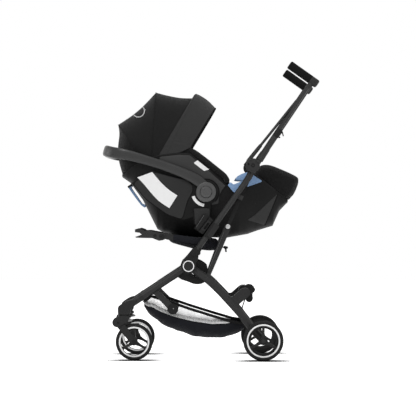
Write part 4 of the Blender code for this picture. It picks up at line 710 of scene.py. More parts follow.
def make_wheel(kind, word, axle, y, radius, rim, width):
    """Tyre with its sidewall ring, and a deep rim with three spokes."""
    def both_ways(stations):
        return [(y + a, r) for a, r in stations] + [(y - a, r) for a, r in reversed(stations)]

    half = width / 2
    inner = rim + 0.0003
    wall = radius - inner
    shoulder = [(0.85 * half, inner), (0.95 * half, inner + 0.25 * wall), (half, inner + 0.52 * wall)]
    shoulder += [(share * half, radius - drop) for share, drop in TREAD_EDGE]
    tyre = lathe(f"{kind}_tread_{word}", axle, both_ways(shoulder), RUBBER, TYRE_SIDES, loop=True, angle=28)
    for vertex in tyre.data.vertices:
        x, z = vertex.co.x - axle[0], vertex.co.z - axle[1]
        reach = math.hypot(x, z)
        edge = abs(vertex.co.y - y) > 0.55 * half
        turn = math.atan2(z, x) / (2 * math.pi) * TYRE_SIDES
        if edge and reach > radius - 0.0036 and round(turn) % 4 == 0:
            vertex.co.x -= x / reach * NOTCH
            vertex.co.z -= z / reach * NOTCH
    body = f"{kind}_wheel_{word}"
    dress(tyre, body, "tyre_rubber", f"{kind}_tyre_{word}")
    lip = half - 0.0022
    well = [(lip - 0.0012, rim), (lip - 0.0002, rim - 0.0006), (lip - 0.0002, rim - 0.0066)]
    well += [(lip - 0.002, rim - 0.0074), (0.003, rim - 0.007)]
    pieces = [lathe("barrel", axle, both_ways(well), RIM, 96, loop=True)]
    waist = (rim - 0.013) * 0.42
    for k in range(3):
        turn = math.radians(90 + 120 * k)
        foot, reach = polar(axle, turn, 0.008), polar(axle, turn, rim - 0.0066)
        edge = ((foot, 0.0, 0.0078), (foot, waist, 0.0044), (reach, -0.007, 0.0044), (reach, 0.0005, 0.0085))
        outline = [polar(at, turn, out, wide) for at, out, wide in edge]
        outline += [polar(at, turn, out, -wide) for at, out, wide in reversed(edge)]
        pieces.append(plate("spoke", [outline], y - half * 0.62, y + half * 0.62, RIM, 0.0014, 3))
    outward = math.copysign(1, y)
    if kind == "rear":
        shut, ledge = y - outward * (lip - 0.0012), y - outward * (lip - 0.0052)
        flange = [(shut, rim - 0.006), (shut, rim - 0.015), (ledge, rim - 0.016), (ledge, rim - 0.006)]
        pieces.append(lathe("flange", axle, flange, RIM, 96, loop=True))
    boss = [(y - lip, 0.01), (y - lip + 0.0015, 0.0115), (y + lip - 0.0015, 0.0115), (y + lip, 0.01)]
    boss += [(y + lip, 0.0044), (y - lip, 0.0044)]
    pieces.append(lathe("boss", axle, boss, RIM, 40, loop=True))
    dress(merge(f"{kind}_wheel_body_{word}", *pieces), body, "rim_plastic", f"{kind}_rim_{word}")
    for k, d in (("outer", outward), ("inner", -outward))[: 2 if kind == "front" else 1]:
        band = turned(y + d * (lip - 0.0002), d, *((rise, rim - step) for rise, step in RING_SECTION))
        dress(lathe(f"{kind}_ring_{k}_{word}", axle, band, RING, 120, loop=True), body, "rim_plastic")


def make_wheels(word, side):
    make_wheel("front", word, FRONT_AXLE, side * CASTER_Y, radius=0.0645, rim=0.054, width=0.025)
    make_wheel("rear", word, REAR_AXLE, side * REAR_WHEEL_Y, radius=0.07, rim=0.059, width=0.027)


HINGE_RISE = 0.003
HINGE_COVER = (
    (-0.0008, 0.0243), (0.0006, 0.024), (0.0012, 0.0228), (0.0012, 0.019), (0.0004, 0.0184), (0.0004, 0.0003),
)


def make_hinge(word, side):
    outer = side * (POLE_Y + HINGE_RISE)
    body = "handle_" + word
    cover = lathe("hinge_cover_" + word, HINGE, turned(outer, side, *HINGE_COVER), FRAME_PAINT, 56)
    dress(cover, body, "frame_paint")
    small = (HINGE[0] - 0.015, HINGE[1] + 0.0045)
    for k, (at, radius, rise) in enumerate(((HINGE, 0.0062, 0.003), (small, 0.0036, 0.0012))):
        low = rise - 0.0008
        head = [(0.0, radius), (rise - 0.0003, radius), (rise, radius * 0.9), (rise, radius * 0.5)]
        head += [(low, radius * 0.4), (low, 0.0002)]
        dress(lathe(f"hinge_screw_{k}_{word}", at, turned(outer, side, *head), PIPING, 20), body, "frame_paint")


GRIP_BEHIND_POLE = 0.0213
POLE_LENGTH = 0.359
POLE_OFFSET = 0.009
POLE_LEAN = 0.0145
GRIP_RADIUS = 0.015
POLE_TOP = polar(HINGE, POLE_SLOPE, POLE_LENGTH)
POLE_FOOT = polar(HINGE, POLE_SLOPE, 0.0, -POLE_OFFSET)
POLE_AXIS = slope_of(POLE_FOOT, POLE_TOP)


def pole_point(side, distance, offset=0.0, out=0.0):
    """A point on the pole's line, which leans in towards its grip."""
    x, z = polar(POLE_FOOT, POLE_AXIS, distance, offset)
    return x, side * (POLE_Y + out - POLE_LEAN * distance / POLE_LENGTH), z


GRIP_ELBOW = [(0.0, 0.5), (0.0008, 0.74), (0.0028, 0.92), (0.006, 1.0), (0.0285, 1.0), (0.0298, 0.96)]
GRIP_FOAM = [
    (0.0298, 0.9), (0.0304, 0.985), (0.032, 1.0), (0.07, 0.99), (0.1, 0.99), (0.115, 1.0), (0.1185, 0.95),
    (0.1202, 0.82), (0.1208, 0.6),
]


def make_grip(word, side):
    """The foam grip, with the plastic elbow that joins it to the pole's head."""
    run = POLE_SLOPE + math.pi / 2
    back = polar(POLE_TOP, run, -GRIP_BEHIND_POLE)

    def part(name, stations, material, *nodes):
        rows = []
        for distance, share in stations:
            centre = polar(back, run, distance)
            row = []
            for c, s in ring(32):
                x, z = polar(centre, run, 0.0, GRIP_RADIUS * share * c)
                row.append((x, side * (POLE_Y - POLE_LEAN) + GRIP_RADIUS * share * s, z))
            rows.append(row)
        piece = loft(name, rows, material, closed=True, caps=True, angle=50)
        return dress(piece, "handle_" + word, "grip_foam", *nodes)

    part("grip_elbow_" + word, GRIP_ELBOW, DARK_PAINT)
    part("grip_pad_" + word, GRIP_FOAM, FOAM, "handle_grip_" + word)


LINK_OUTER_Y = 0.178


def make_link_trim(word, side):
    cap = turned(side * LINK_OUTER_Y, side, (-0.0008, 0.0082), (0.0006, 0.008), (0.0014, 0.006), (0.0018, 0.0004))
    dress(lathe("knee_rivet_cap_" + word, KNEE, cap, STEEL, 36), "fold_link_" + word, "frame_paint")


REAR_LEG_PATH = [
    (-0.059, 0.3189), (-0.0068, 0.281), (0.033, 0.244), (0.0705, 0.2038), (0.1053, 0.165), (0.124, 0.141),
    (0.154, 0.103), (0.1789, 0.0771),
]
NECK_PATH = [(0.118, 0.613), (0.129, 0.6284), (0.1365, 0.6395), (0.142, 0.651)]
NECK_RADII = [0.0101, 0.0108, 0.0116, 0.0117]


def make_tubes(word, side):
    """The oval skin of the rear leg and the swell of the push tube under its hinge."""
    path = spline(at_depth(REAR_LEG_PATH, side * REAR_LEG_Y), 5)
    leg = sweep("rear_leg_skin_" + word, path, 0.0135, FRAME_PAINT, 36, flat=0.905, up=(0, 1, 0))
    dress(leg, "rear_legs", "frame_paint")
    neck = sweep("push_tube_neck_" + word, at_depth(NECK_PATH, side * PUSH_TUBE_Y), NECK_RADII, FRAME_PAINT, 32)
    dress(neck, "frame", "frame_paint")
    # Thin light lines laid along the strut's and the pole's edges are painted highlights.
    edge = slope_of(STRUT_FOOT, KNEE)
    line = at_depth([polar(STRUT_FOOT, edge, d, 0.0058) for d in (0.02, 0.08, 0.14, 0.16)], side * 0.1713)
    dress(sweep("strut_glint_" + word, line, 0.0006, PAINTED_GLINT, 8), "fold_strut_" + word, "frame_paint")
    line = [pole_point(side, d, -0.0038, 0.0086) for d in (0.16, 0.24, 0.328)]
    dress(sweep("pole_glint_" + word, line, 0.0007, PAINTED_GLINT, 8), "handle_" + word, "frame_paint")
    foot = polar(HINGE, POLE_SLOPE, -0.003, 0.0225)
    head = polar(HINGE, POLE_SLOPE, 0.3, 0.0045)
    line = []
    for d in (0.02, 0.06, 0.064, 0.076):
        x, z = polar(foot, slope_of(foot, head), d)
        line.append((x, side * (POLE_Y - POLE_LEAN * d / POLE_LENGTH), z))
    ferrule = sweep("rod_ferrule_" + word, line, [0.0068, 0.0068, 0.0064, 0.0062], DARK_PAINT, 24)
    dress(ferrule, "handle_" + word, "frame_paint")


ADAPTER_BLOCK = [(-0.0179, 0.5106), (-0.0039, 0.4997), (-0.0396, 0.4532), (-0.0513, 0.4602)]
ADAPTER_CLAMP = [(-0.0006, 0.4966), (0.0116, 0.4888), (-0.0225, 0.4408), (-0.0365, 0.4501)]
ADAPTER_COLLAR = [(0.019, 0.4794), (0.0335, 0.468), (0.006, 0.4262), (-0.01, 0.436)]


def make_adapter(word, side):
    """The adapter's raised block, its windowed clamp and the collar round the tube."""
    slope = slope_of(ADAPTER_CLAMP[2], ADAPTER_CLAMP[1])
    middle = along(ADAPTER_CLAMP[0], ADAPTER_CLAMP[2], 0.5)

    def oblong(at, half, low, high):
        return [polar(at, slope, a, b) for a, b in ((-half, low), (half, low), (half, high), (-half, high))]

    window = oblong(middle, 0.013, -0.0038, 0.003)
    clamp = ([rounded(ADAPTER_CLAMP, 0.1), window], 0.188, 0.1975, CASTER_PLASTIC, 0.0009, 3)
    corners = [oblong(polar(middle, slope, end, 0.0), 0.0035, -0.008, 0.008) for end in (-0.0235, 0.0235)]
    pieces = [
        plate("adapter_part", outlines, *pair(side, inner, outer), material, bevel, segments)
        for outlines, inner, outer, material, bevel, segments in (
            ([rounded(ADAPTER_BLOCK, 0.12)], 0.188, 0.193, PLASTIC, 0.001, 3),
            clamp,
            ([corners[0]], 0.196, 0.1988, PLASTIC, 0.0007, 2),
            ([corners[1]], 0.196, 0.1988, PLASTIC, 0.0007, 2),
            ([rounded(ADAPTER_COLLAR, 0.12)], 0.211, 0.2134, CASTER_PLASTIC, 0.001, 3),
        )
    ]
    dress(merge("adapter_clamp_" + word, *pieces), "frame", "black_plastic")
    # A thin light line along the block's edge is a painted highlight.
    edge = [along(ADAPTER_BLOCK[0], ADAPTER_BLOCK[3], t) for t in (0.08, 0.5, 0.92)]
    glint = sweep("adapter_glint_" + word, [(x + 0.001, side * 0.1931, z) for x, z in edge], 0.0006, PAINTED_GLINT, 8)
    dress(glint, "frame", "grey_plastic")


FORK_OUTER_Y = 0.1903
FORK_OUTLINE = [
    (-0.2596, 0.4558), (-0.2592, 0.448), (-0.244, 0.446), (-0.2362, 0.439), (-0.247, 0.4335),
    (-0.258, 0.4304), (-0.257, 0.429), (-0.236, 0.428), (-0.2002, 0.4274), (-0.1769, 0.4182),
    (-0.1629, 0.4206), (-0.156, 0.424), (-0.156, 0.4432), (-0.1783, 0.4455), (-0.211, 0.4517),
    (-0.2285, 0.4512), (-0.2335, 0.455), (-0.2469, 0.4597),
]
CUFF_OUTLINE = [(-0.155, 0.4438), (-0.128, 0.4408), (-0.128, 0.4168), (-0.148, 0.4212), (-0.155, 0.4236)]
SLEEVE_OUTLINE = [
    (-0.1265, 0.44), (-0.06, 0.4302), (-0.018, 0.423), (-0.0124, 0.413), (-0.02, 0.4022), (-0.06, 0.4082),
    (-0.1265, 0.4176),
]


def make_rail(word, side):
    """The seat rail's fork, its pivots and cuff, and the cloth over its rear length."""
    fork = rounded(FORK_OUTLINE, 0.2)
    pieces = [plate("rail_fork", [fork], *pair(side, 0.189, FORK_OUTER_Y), RAIL_PLASTIC, 0.0005, 2)]
    for at, radius in (((-0.1908, 0.435), 0.0055), ((-0.1667, 0.432), 0.0093)):
        head = [(-0.0006, radius), (0.0006, radius), (0.0012, radius * 0.88), (0.0012, radius * 0.45)]
        head += [(0.0006, radius * 0.38), (0.0006, 0.0002)]
        pieces.append(lathe("rail_pivot", at, turned(side * FORK_OUTER_Y, side, *head), PLASTIC, 40))
    dress(merge("rail_fork_cover_" + word, *pieces), "frame", "black_plastic")
    for name, outline, ease, layer, material, bevel, slot in (
        ("cuff", CUFF_OUTLINE, 0.12, (0.189, 0.1908), CASTER_PLASTIC, 0.0007, "black_plastic"),
        ("sleeve", SLEEVE_OUTLINE, 0.2, (0.1888, 0.1902), BASKET, 0.0005, "black_fabric"),
    ):
        cover = plate(f"rail_{name}_{word}", [rounded(outline, ease)], *pair(side, *layer), material, bevel, 2)
        dress(cover, "frame", slot)


PEDAL_OUTLINE = [
    (0.103, 0.237), (0.1045, 0.247), (0.111, 0.255), (0.12, 0.257), (0.129, 0.2555), (0.133, 0.259),
    (0.14, 0.26), (0.15, 0.258), (0.159, 0.25), (0.1627, 0.242), (0.16, 0.235), (0.153, 0.229),
    (0.153, 0.218), (0.1545, 0.211), (0.151, 0.201), (0.142, 0.196), (0.133, 0.199), (0.125, 0.209),
    (0.112, 0.22), (0.1045, 0.229),
]


def make_pedal():
    bore = circle(REAR_BAR, 0.0113, 32)
    body = plate("pedal_body", [rounded(PEDAL_OUTLINE, 0.3), bore], -0.035, 0.035, PLASTIC, 0.003, 4)
    ribs = []
    for k in range(7):
        y = -0.024 + 0.008 * k
        path = [(0.134, y, 0.2588), (0.14, y, 0.2599), (0.15, y, 0.2577), (0.1575, y, 0.2512)]
        ribs.append(sweep(f"pedal_rib_{k}", path, 0.0011, RUBBER, 8))
    dress(merge("brake_pedal_body", body, *ribs), "brake_pedal", "black_plastic", "brake_pedal")


CABLE_RADIUS = 0.002
CABLE_GAP = 0.0003
CABLE_UNDER = REAR_BAR[1] - REAR_BAR_RADIUS - CABLE_RADIUS - CABLE_GAP
CABLE_INNER = -(REAR_LEG_Y - REAR_LEG_RADIUS - CABLE_RADIUS - CABLE_GAP)
CABLE_ROUTE = [
    (REAR_BAR[0], -0.036, CABLE_UNDER),
    (REAR_BAR[0], -0.145, CABLE_UNDER),
    (REAR_BAR[0], -0.16, CABLE_UNDER - 0.002),
    (REAR_BAR[0] - 0.002, CABLE_INNER + 0.003, CABLE_UNDER - 0.008),
    (REAR_BAR[0] - 0.006, CABLE_INNER, CABLE_UNDER - 0.02),
    (0.113, CABLE_INNER, 0.175),
    (0.124, CABLE_INNER, 0.142),
    (0.154, CABLE_INNER, 0.104),
    (0.17, CABLE_INNER, 0.088),
]


def make_cable():
    route = spline(CABLE_ROUTE, 6)
    cable = sweep("brake_cable_sleeve", route, CABLE_RADIUS, PIPING, 12)
    dress(cable, "rear_legs", "black_plastic", "brake_cable")


# ---------------------------------------------------------------- basket

BASKET_HALF_WIDTH = 0.1467
BASKET_RIM = [
    (-0.23, 0.204), (-0.205, 0.223), (-0.143, 0.204), (-0.071, 0.179), (0.009, 0.154), (0.08, 0.133),
    (0.104, 0.129), (0.12, 0.13),
]
BASKET_FLOOR = [
    (-0.23, 0.183), (-0.215, 0.157), (-0.171, 0.1235), (-0.117, 0.099), (-0.058, 0.08), (0.005, 0.0722),
    (0.05, 0.076), (0.104, 0.0915), (0.12, 0.103),
]
BASKET_START = -0.23
BASKET_END = 0.12
NET_END = 0.082
NET_SHARE = [(-0.23, 0.52), (-0.134, 0.51), (0.009, 0.37), (0.06, 0.22), (0.076, 0.1), (0.082, 0.0)]
BOSS_TRIM = (
    ("boss", BASKET_BOSS, PLASTIC, 40, (
        (0.003, 0.0186), (0.005, 0.0184), (0.0064, 0.017), (0.007, 0.012), (0.007, 0.0004),
    )),
    ("boss_dot", (-0.127, 0.18), LEVER_PLASTIC, 20, ((0.0068, 0.0022), (0.0073, 0.002), (0.0074, 0.0004))),
)


def trough_point(x, half_width, rim, bottom, angle, squareness):
    across = math.copysign(abs(math.cos(angle)) ** squareness, -math.cos(angle))
    depth = max(0.0, math.sin(angle)) ** squareness
    return (x, across * half_width, rim - (rim - bottom) * depth)


def basket_point(x, angle):
    return trough_point(x, BASKET_HALF_WIDTH, between(BASKET_RIM, x), between(BASKET_FLOOR, x), angle, 0.5)


def net_edge(x):
    """The angle at which the net gives way to the cloth."""
    return math.asin(between(NET_SHARE, x) ** 2)


def basket_blend(obj):
    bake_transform(obj)


def make_basket():
    """The sagging cloth with its closed ends, the nets above it, and the piped rim."""
    rows = []
    for x in steps(BASKET_START, BASKET_END, 0.006):
        first = net_edge(x)
        row = []
        for i in range(57):
            angle = first + (math.pi - 2 * first) * i / 56
            px, py, pz = basket_point(x, angle)
            side = math.sin(angle)
            fold = 0.0016 * math.sin(px * 62 + 2.2 * math.sin(py * 19)) * side
            fold += 0.0011 * math.sin(px * 131 + py * 47) * side
            end = min(1.0, (px - BASKET_START) / 0.03, (BASKET_END - px) / 0.03)
            row.append((px, py * (1 - 0.006 * math.sin(px * 70)), pz - (fold + 0.0012) * end))
        rows.append(row)
    cloth = loft("basket_cloth", rows, BASKET, thickness=0.0016, angle=70)
    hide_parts("storage_basket")
    trims = []
    ends = []
    for k, x in enumerate((BASKET_START, BASKET_END)):
        first = net_edge(x)
        outline = [basket_point(x, first + (math.pi - 2 * first) * i / 40) for i in range(41)]
        top = [basket_point(x, first * i / 6) for i in range(6)]
        whole = top + outline + [(px, -py, pz) for px, py, pz in reversed(top)]
        inward = 0.0016 if k == 0 else -0.0016
        inner = [(px + inward, py * 0.995, pz) for px, py, pz in whole]
        ends.append(loft(f"basket_end_{k}", [whole, inner], BASKET, closed=True, caps=True))
    for word, side in SIDES:
        patch = []
        for x in steps(BASKET_START, NET_END - 0.001, 0.0052):
            column = [basket_point(x, net_edge(x) * (i / 11) ** 0.62) for i in range(12)]
            patch.append([(px, -py * side * 0.998, pz) for px, py, pz in column])
        net = loft("basket_net_" + word, patch, NET, angle=80)
        wire = net.modifiers.new("threads", "WIREFRAME")
        wire.thickness = 0.0013
        wire.use_even_offset = False
        settle(net, 60)
        trims.append(net)
        rim = [basket_point(x, 0.0) for x in steps(BASKET_START, BASKET_END, 0.008)]
        seam = [basket_point(x, net_edge(x)) for x in steps(BASKET_START, NET_END, 0.008)]
        for name, path, out, radius, sides in (("rim", rim, 1.0, 0.005, 12), ("seam", seam, 1.003, 0.0013, 8)):
            line = [(px, -py * side * out, pz) for px, py, pz in path]
            trims.append(sweep(f"basket_{name}_{word}", line, radius, PIPING, sides))
    for k, x in enumerate((BASKET_START, BASKET_END)):
        cross = [(x, BASKET_HALF_WIDTH * (i / 10 - 1), between(BASKET_RIM, x)) for i in range(21)]
        trims.append(sweep(f"basket_cross_{k}", cross, 0.0036, PIPING, 12))
    for obj in [cloth] + trims + ends:
        basket_blend(obj)
    for word, side in SIDES:
        for name, at, material, sides, stations in BOSS_TRIM:
            profile = turned(side * 0.165, side, *stations)
            dress(lathe(f"basket_{name}_{word}", at, profile, material, sides), "frame", "black_plastic")


# ---------------------------------------------------------------- seat base on the frame

SEAT_BASE_TOP = [(-0.152, 0.429), (-0.1, 0.428), (-0.05, 0.427), (0.0, 0.424), (0.03, 0.418), (0.045, 0.41)]
SEAT_BASE_BOTTOM = [(-0.152, 0.418), (-0.1, 0.403), (-0.05, 0.3895), (0.0, 0.3845), (0.045, 0.3845)]
SEAT_BASE_HALF = [(-0.152, 0.1763), (-0.045, 0.1763), (-0.015, 0.1617), (0.045, 0.1617)]
QUILT_PITCH = 0.066
STRAP_PATH = [(0.04, -0.13, 0.396), (0.05, -0.131, 0.393), (0.056, -0.1315, 0.386), (0.058, -0.132, 0.377)]
TOGGLE_OUTLINE = [
    (0.05, 0.399), (0.064, 0.396), (0.064, 0.39), (0.059, 0.388), (0.06, 0.378), (0.054, 0.378), (0.054, 0.388),
    (0.049, 0.39),
]


def make_seat_base():
    """The folded seat's quilted pad, with its strap and toggle."""
    rows = []
    front, back = SEAT_BASE_TOP[0][0], SEAT_BASE_TOP[-1][0]
    for x in steps(front, back, 0.008):
        top, bottom = between(SEAT_BASE_TOP, x), between(SEAT_BASE_BOTTOM, x)
        pinch = 0.55 + 0.45 * min(1.0, min(x - front, back - x) / 0.01)
        middle, half = (top + bottom) / 2, (top - bottom) / 2 * pinch
        quilt = 1 - 0.1 * (math.cos((x + 0.05) * 2 * math.pi / QUILT_PITCH) > 0.96)
        wide = between(SEAT_BASE_HALF, x)
        rows.append([(x, wide * c, middle + half * s * quilt) for c, s in ring(64, 0.35, 0.6)])
    pad = puff(loft("seat_base_pad", rows, BASKET, closed=True, caps=True), 0.0055, 0.005)
    dress(pad, "frame", "black_fabric", "seat_base")
    strap = sweep("fold_strap", spline(STRAP_PATH, 4), 0.0055, WEBBING, 12, flat=0.22, up=(1, 0, 0))
    dress(strap, "frame", "black_fabric")
    toggle = plate("fold_toggle", [rounded(TOGGLE_OUTLINE, 0.2)], -0.14, -0.124, PLASTIC, 0.0012, 3)
    dress(toggle, "frame", "black_plastic")


# ---------------------------------------------------------------- infant seat

SHELL_WIDTH = [
    (-0.308, 0.105), (-0.29, 0.13), (-0.262, 0.147), (-0.24, 0.153), (-0.2, 0.157), (0.0, 0.158),
    (0.06, 0.153), (0.1, 0.15), (0.14, 0.143), (0.2, 0.13), (0.275, 0.11),
]
SHELL_RIM = [
    (-0.308, 0.65), (-0.29, 0.658), (-0.262, 0.68), (-0.24, 0.693), (-0.205, 0.707), (-0.1785, 0.714),
    (-0.105, 0.722), (-0.07, 0.72), (0.0, 0.662), (0.07, 0.6), (0.105, 0.595), (0.16, 0.648), (0.275, 0.56),
]
SHELL_BOTTOM = [
    (-0.308, 0.64), (-0.28, 0.62), (-0.2364, 0.5591), (-0.2075, 0.5009), (-0.185, 0.456), (-0.165, 0.445),
    (-0.06, 0.429), (0.06, 0.4256), (0.1345, 0.4391), (0.1731, 0.4527), (0.2238, 0.4681), (0.247, 0.5205),
    (0.275, 0.55),
]
LINER_CHANNELS = (-0.195, -0.13, -0.045, 0.04, 0.13)
LINER_RIM_LIFT = [(-0.105, -0.003), (-0.07, 0.029), (0.0, 0.032), (0.07, 0.02), (0.105, -0.003)]
SHELL_WALL = 0.004
LINER_GAP = 0.0015
LINER_THICKNESS = 0.02


def lifted(table, x, offset):
    """The height over a table's line of a surface at an even offset above it."""
    shifts = [offset * (i / 8 - 1) for i in range(17)]
    return max(between(table, x + s) + math.sqrt(max(0.0, offset**2 - s**2)) for s in shifts)


def section(x, half_width, rim, bottom, count, squareness=0.62):
    """A U-shaped section across the seat, from rim to rim, with more points in its corners."""
    row = []
    for i in range(count + 1):
        angle = math.pi * i / count
        row.append(trough_point(x, half_width, rim, bottom, angle if 0 < i < count else 0.0, squareness))
    row[-1] = (x, half_width, rim)
    return row


def liner_top(x):
    return lifted(SHELL_BOTTOM, x, SHELL_WALL + LINER_GAP + LINER_THICKNESS)


def make_shell():
    corners = [x for x, _ in SHELL_BOTTOM + SHELL_RIM]
    stations = sorted({*steps(min(corners), max(corners), 0.007), *corners})
    rows = [
        section(x, between(SHELL_WIDTH, x), between(SHELL_RIM, x), between(SHELL_BOTTOM, x), 44) for x in stations
    ]
    shell = loft("seat_shell", rows, SHELL_PLASTIC, caps=True, thickness=SHELL_WALL, angle=45)
    dress(shell, "carrier", "black_plastic", "carrier_shell")
    for word, side in SIDES:
        line = []
        for x in stations:
            if -0.3 <= x <= 0.272:
                line.append((x, side * (between(SHELL_WIDTH, x) - 0.0016), between(SHELL_RIM, x) + 0.0002))
        dress(sweep("shell_rim_" + word, line, 0.0026, PLASTIC, 12, flat=0.9), "carrier", "black_plastic")
    make_facets(shell)


FACET = ([(0.1336, 0.4901), (0.159, 0.507), (0.2383, 0.5815)], [(0.1336, 0.4895), (0.1938, 0.4719), (0.2383, 0.58)])
FACET_EDGE = [(0.2383, 0.5815), (0.215, 0.524), (0.1938, 0.4719)]


def make_facets(shell):
    """A lighter patch painted as highlight on the foot end of the shell's side, and a dark strip painted as shade
    along its crease.
    """
    for word, side in SIDES:
        # The lighter patch is a painted highlight on the foot end's plane.
        panel = skin("shell_facet_" + word, shell, fan(*FACET, 18, 8), side, FACET_HIGHLIGHT, 0.0006, 0.0008)
        dress(panel, "carrier", "black_plastic")
        # A dark strip along the facet's crease is painted shade.
        edge = fan(FACET_EDGE, [(x + 0.003, z - 0.0006) for x, z in FACET_EDGE], 16, 2)
        dress(skin("shell_crease_shade_" + word, shell, edge, side, BINDING_AND_SHADE, 0.0008, 0.0009), "carrier", "black_plastic")


def make_liner():
    inset = SHELL_WALL + LINER_GAP
    rows = []
    for x in steps(-0.25, 0.195, 0.005):
        dip = sum(math.exp(-(((x - c) / 0.0075) ** 2)) for c in LINER_CHANNELS)
        pad = LINER_THICKNESS * (1 - 0.35 * min(1.0, dip))
        half = between(SHELL_WIDTH, x) - inset
        rim = between(SHELL_RIM, x) + between(LINER_RIM_LIFT, x)
        outer = section(x, half, rim, lifted(SHELL_BOTTOM, x, inset + 0.001), 30)
        inner = section(x, half - pad, rim, lifted(SHELL_BOTTOM, x, inset + pad), 30)
        rows.append(outer + inner[::-1])
    liner = loft("seat_liner_pad", rows, LINER, closed=True, caps=True)
    dress(liner, "carrier", "black_fabric", "seat_liner")
    deep = inset + LINER_THICKNESS * 0.65
    for k, x in enumerate(LINER_CHANNELS):
        half = between(SHELL_WIDTH, x) - deep - 0.0004
        rim = between(SHELL_RIM, x) + between(LINER_RIM_LIFT, x) - 0.004
        line = section(x, half, rim, lifted(SHELL_BOTTOM, x, deep) + 0.0004, 40)
        dress(sweep(f"liner_channel_{k}", line, 0.0009, THREAD, 6, up=(1, 0, 0)), "carrier", "black_fabric")


ROLL_PATH = [
    (-0.072, 0.74), (-0.02, 0.7015), (0.022, 0.668), (0.045, 0.6495), (0.056, 0.637), (0.064, 0.62),
]


def make_rim_roll(word, side):
    """The padded edge of the cover, rolled over the shell's rim."""
    path = at_depth(spline(ROLL_PATH, 6), side * 0.149)
    count = len(path)
    radii = [0.0098 * min(1.0, 0.55 + 5 * i / count, 0.55 + 5 * (count - 1 - i) / count) for i in range(count)]
    roll = sweep("rim_roll_" + word, path, radii, HOOD, 24, flat=0.95)
    dress(roll, "carrier", "black_fabric")
    line = [(x + 0.0062, side * 0.1556, z + 0.003) for x, _, z in path[2:-2]]
    dress(sweep("rim_roll_seam_" + word, line, 0.0008, THREAD, 6), "carrier", "black_fabric")


CARRY_HUB = (-0.013, 0.587)
PANEL_OUTLINE = (
    [(-0.2742, 0.6183), (-0.2, 0.662), (-0.1106, 0.6357), (-0.06, 0.625)]
    + arc(CARRY_HUB, 0.045, 130, -50, 28)
    + [(0.003, 0.545), (0.001, 0.4725), (-0.053, 0.4725), (-0.058, 0.5)]
    + [(-0.0932, 0.4895), (-0.1489, 0.5173), (-0.222, 0.5626)]
)
GUARD_OUTLINE = [
    (-0.111, 0.635), (-0.08, 0.63), (-0.06, 0.611), (-0.059, 0.59), (-0.078, 0.556), (-0.096, 0.4905),
    (-0.1489, 0.5085), (-0.224, 0.5625), (-0.27, 0.618), (-0.2, 0.659),
]
STALK_OUTLINE = [(-0.056, 0.53), (-0.05, 0.4725), (-0.002, 0.4725), (0.0, 0.53)]
LABEL_LOW_EDGE = [(-0.253, 0.638), (-0.233, 0.618), (-0.208, 0.588), (-0.178, 0.556), (-0.141, 0.531)]
LABEL_HIGH_EDGE = [(-0.113, 0.575), (-0.14, 0.593), (-0.164, 0.614), (-0.183, 0.635), (-0.201, 0.657)]
UPPER_LOW_EDGE = [
    (-0.175, 0.675), (-0.148, 0.662), (-0.085, 0.64), (-0.04, 0.615), (0.007, 0.58), (0.007, 0.5412),
    (0.031, 0.5472), (0.0332, 0.5751), (0.042, 0.593), (0.056, 0.61),
]


def make_side_panel(word, side):
    """The side panel with its guard, stalk and pin, its bare labels, and dark lines of painted shade along its
    recesses.
    """
    guard = rounded(GUARD_OUTLINE, 0.22)
    pieces = [
        plate("panel_part", [outline], *pair(side, inner, outer), material, bevel, segments)
        for outline, inner, outer, material, bevel, segments in (
            (PANEL_OUTLINE, 0.1575, 0.1656, SHELL_PLASTIC, 0.0012, 3),
            (guard, 0.164, 0.1665, PANEL_PLASTIC, 0.0007, 2),
            (rounded(STALK_OUTLINE, 0.1), 0.164, 0.1775, PANEL_PLASTIC, 0.002, 3),
        )
    ]
    pieces.append(lathe("panel_pin", CARRY_HUB, [(side * 0.164, 0.019), (side * 0.17, 0.019)], PLASTIC, 40))
    dress(merge("side_panel_body_" + word, *pieces), "carrier", "black_plastic", "side_panel_" + word)
    sticker = spline(LABEL_LOW_EDGE, 4) + spline(LABEL_HIGH_EDGE, 4)
    crescent = arc(CARRY_HUB, 0.052, 198, 262, 24) + arc(CARRY_HUB, 0.0415, 262, 198, 24)
    label = plate("panel_label_" + word, [sticker], *pair(side, 0.1663, 0.1669), LABEL)
    dress(label, "carrier", "grey_plastic")
    # Dark lines along the guard's outline and round the hub are painted shade in the recesses.
    line = at_depth(rounded(GUARD_OUTLINE, 0.22, 5), side * 0.1661)
    recess = sweep("panel_recess_shade_" + word, line, 0.0016, BINDING_AND_SHADE, 8, flat=0.4, closed=True, up=(0, 1, 0))
    dress(recess, "carrier", "black_plastic")
    line = at_depth(arc(CARRY_HUB, 0.0455, 125, -45, 40), side * 0.1657)
    dress(sweep("hub_recess_shade_" + word, line, 0.0014, BINDING_AND_SHADE, 8, flat=0.5, up=(0, 1, 0)), "carrier", "black_plastic")
    dress(plate("hub_label_" + word, [crescent], *pair(side, 0.1655, 0.1662), LABEL), "carrier", "grey_plastic")


def make_upper_panel(word, side):
    """The lighter panel over the shell's side, between the carrying bar and the rim."""
    high = [(x, between(SHELL_RIM, x) - 0.004) for x in (0.056, 0.03, 0.0, -0.035, -0.07, -0.105, -0.14, -0.175)]
    outline = rounded(UPPER_LOW_EDGE + high, 0.15)
    panel = plate("upper_panel_" + word, [outline], *pair(side, 0.156, 0.1592), UPPER_PLASTIC, 0.0008, 2)
    dress(panel, "carrier", "black_plastic")
    outline = rounded([(-0.056, 0.689), (-0.043, 0.698), (-0.002, 0.666), (-0.02, 0.661)], 0.08)
    dress(plate("upper_label_" + word, [outline], *pair(side, 0.159, 0.1595), LABEL), "carrier", "grey_plastic")


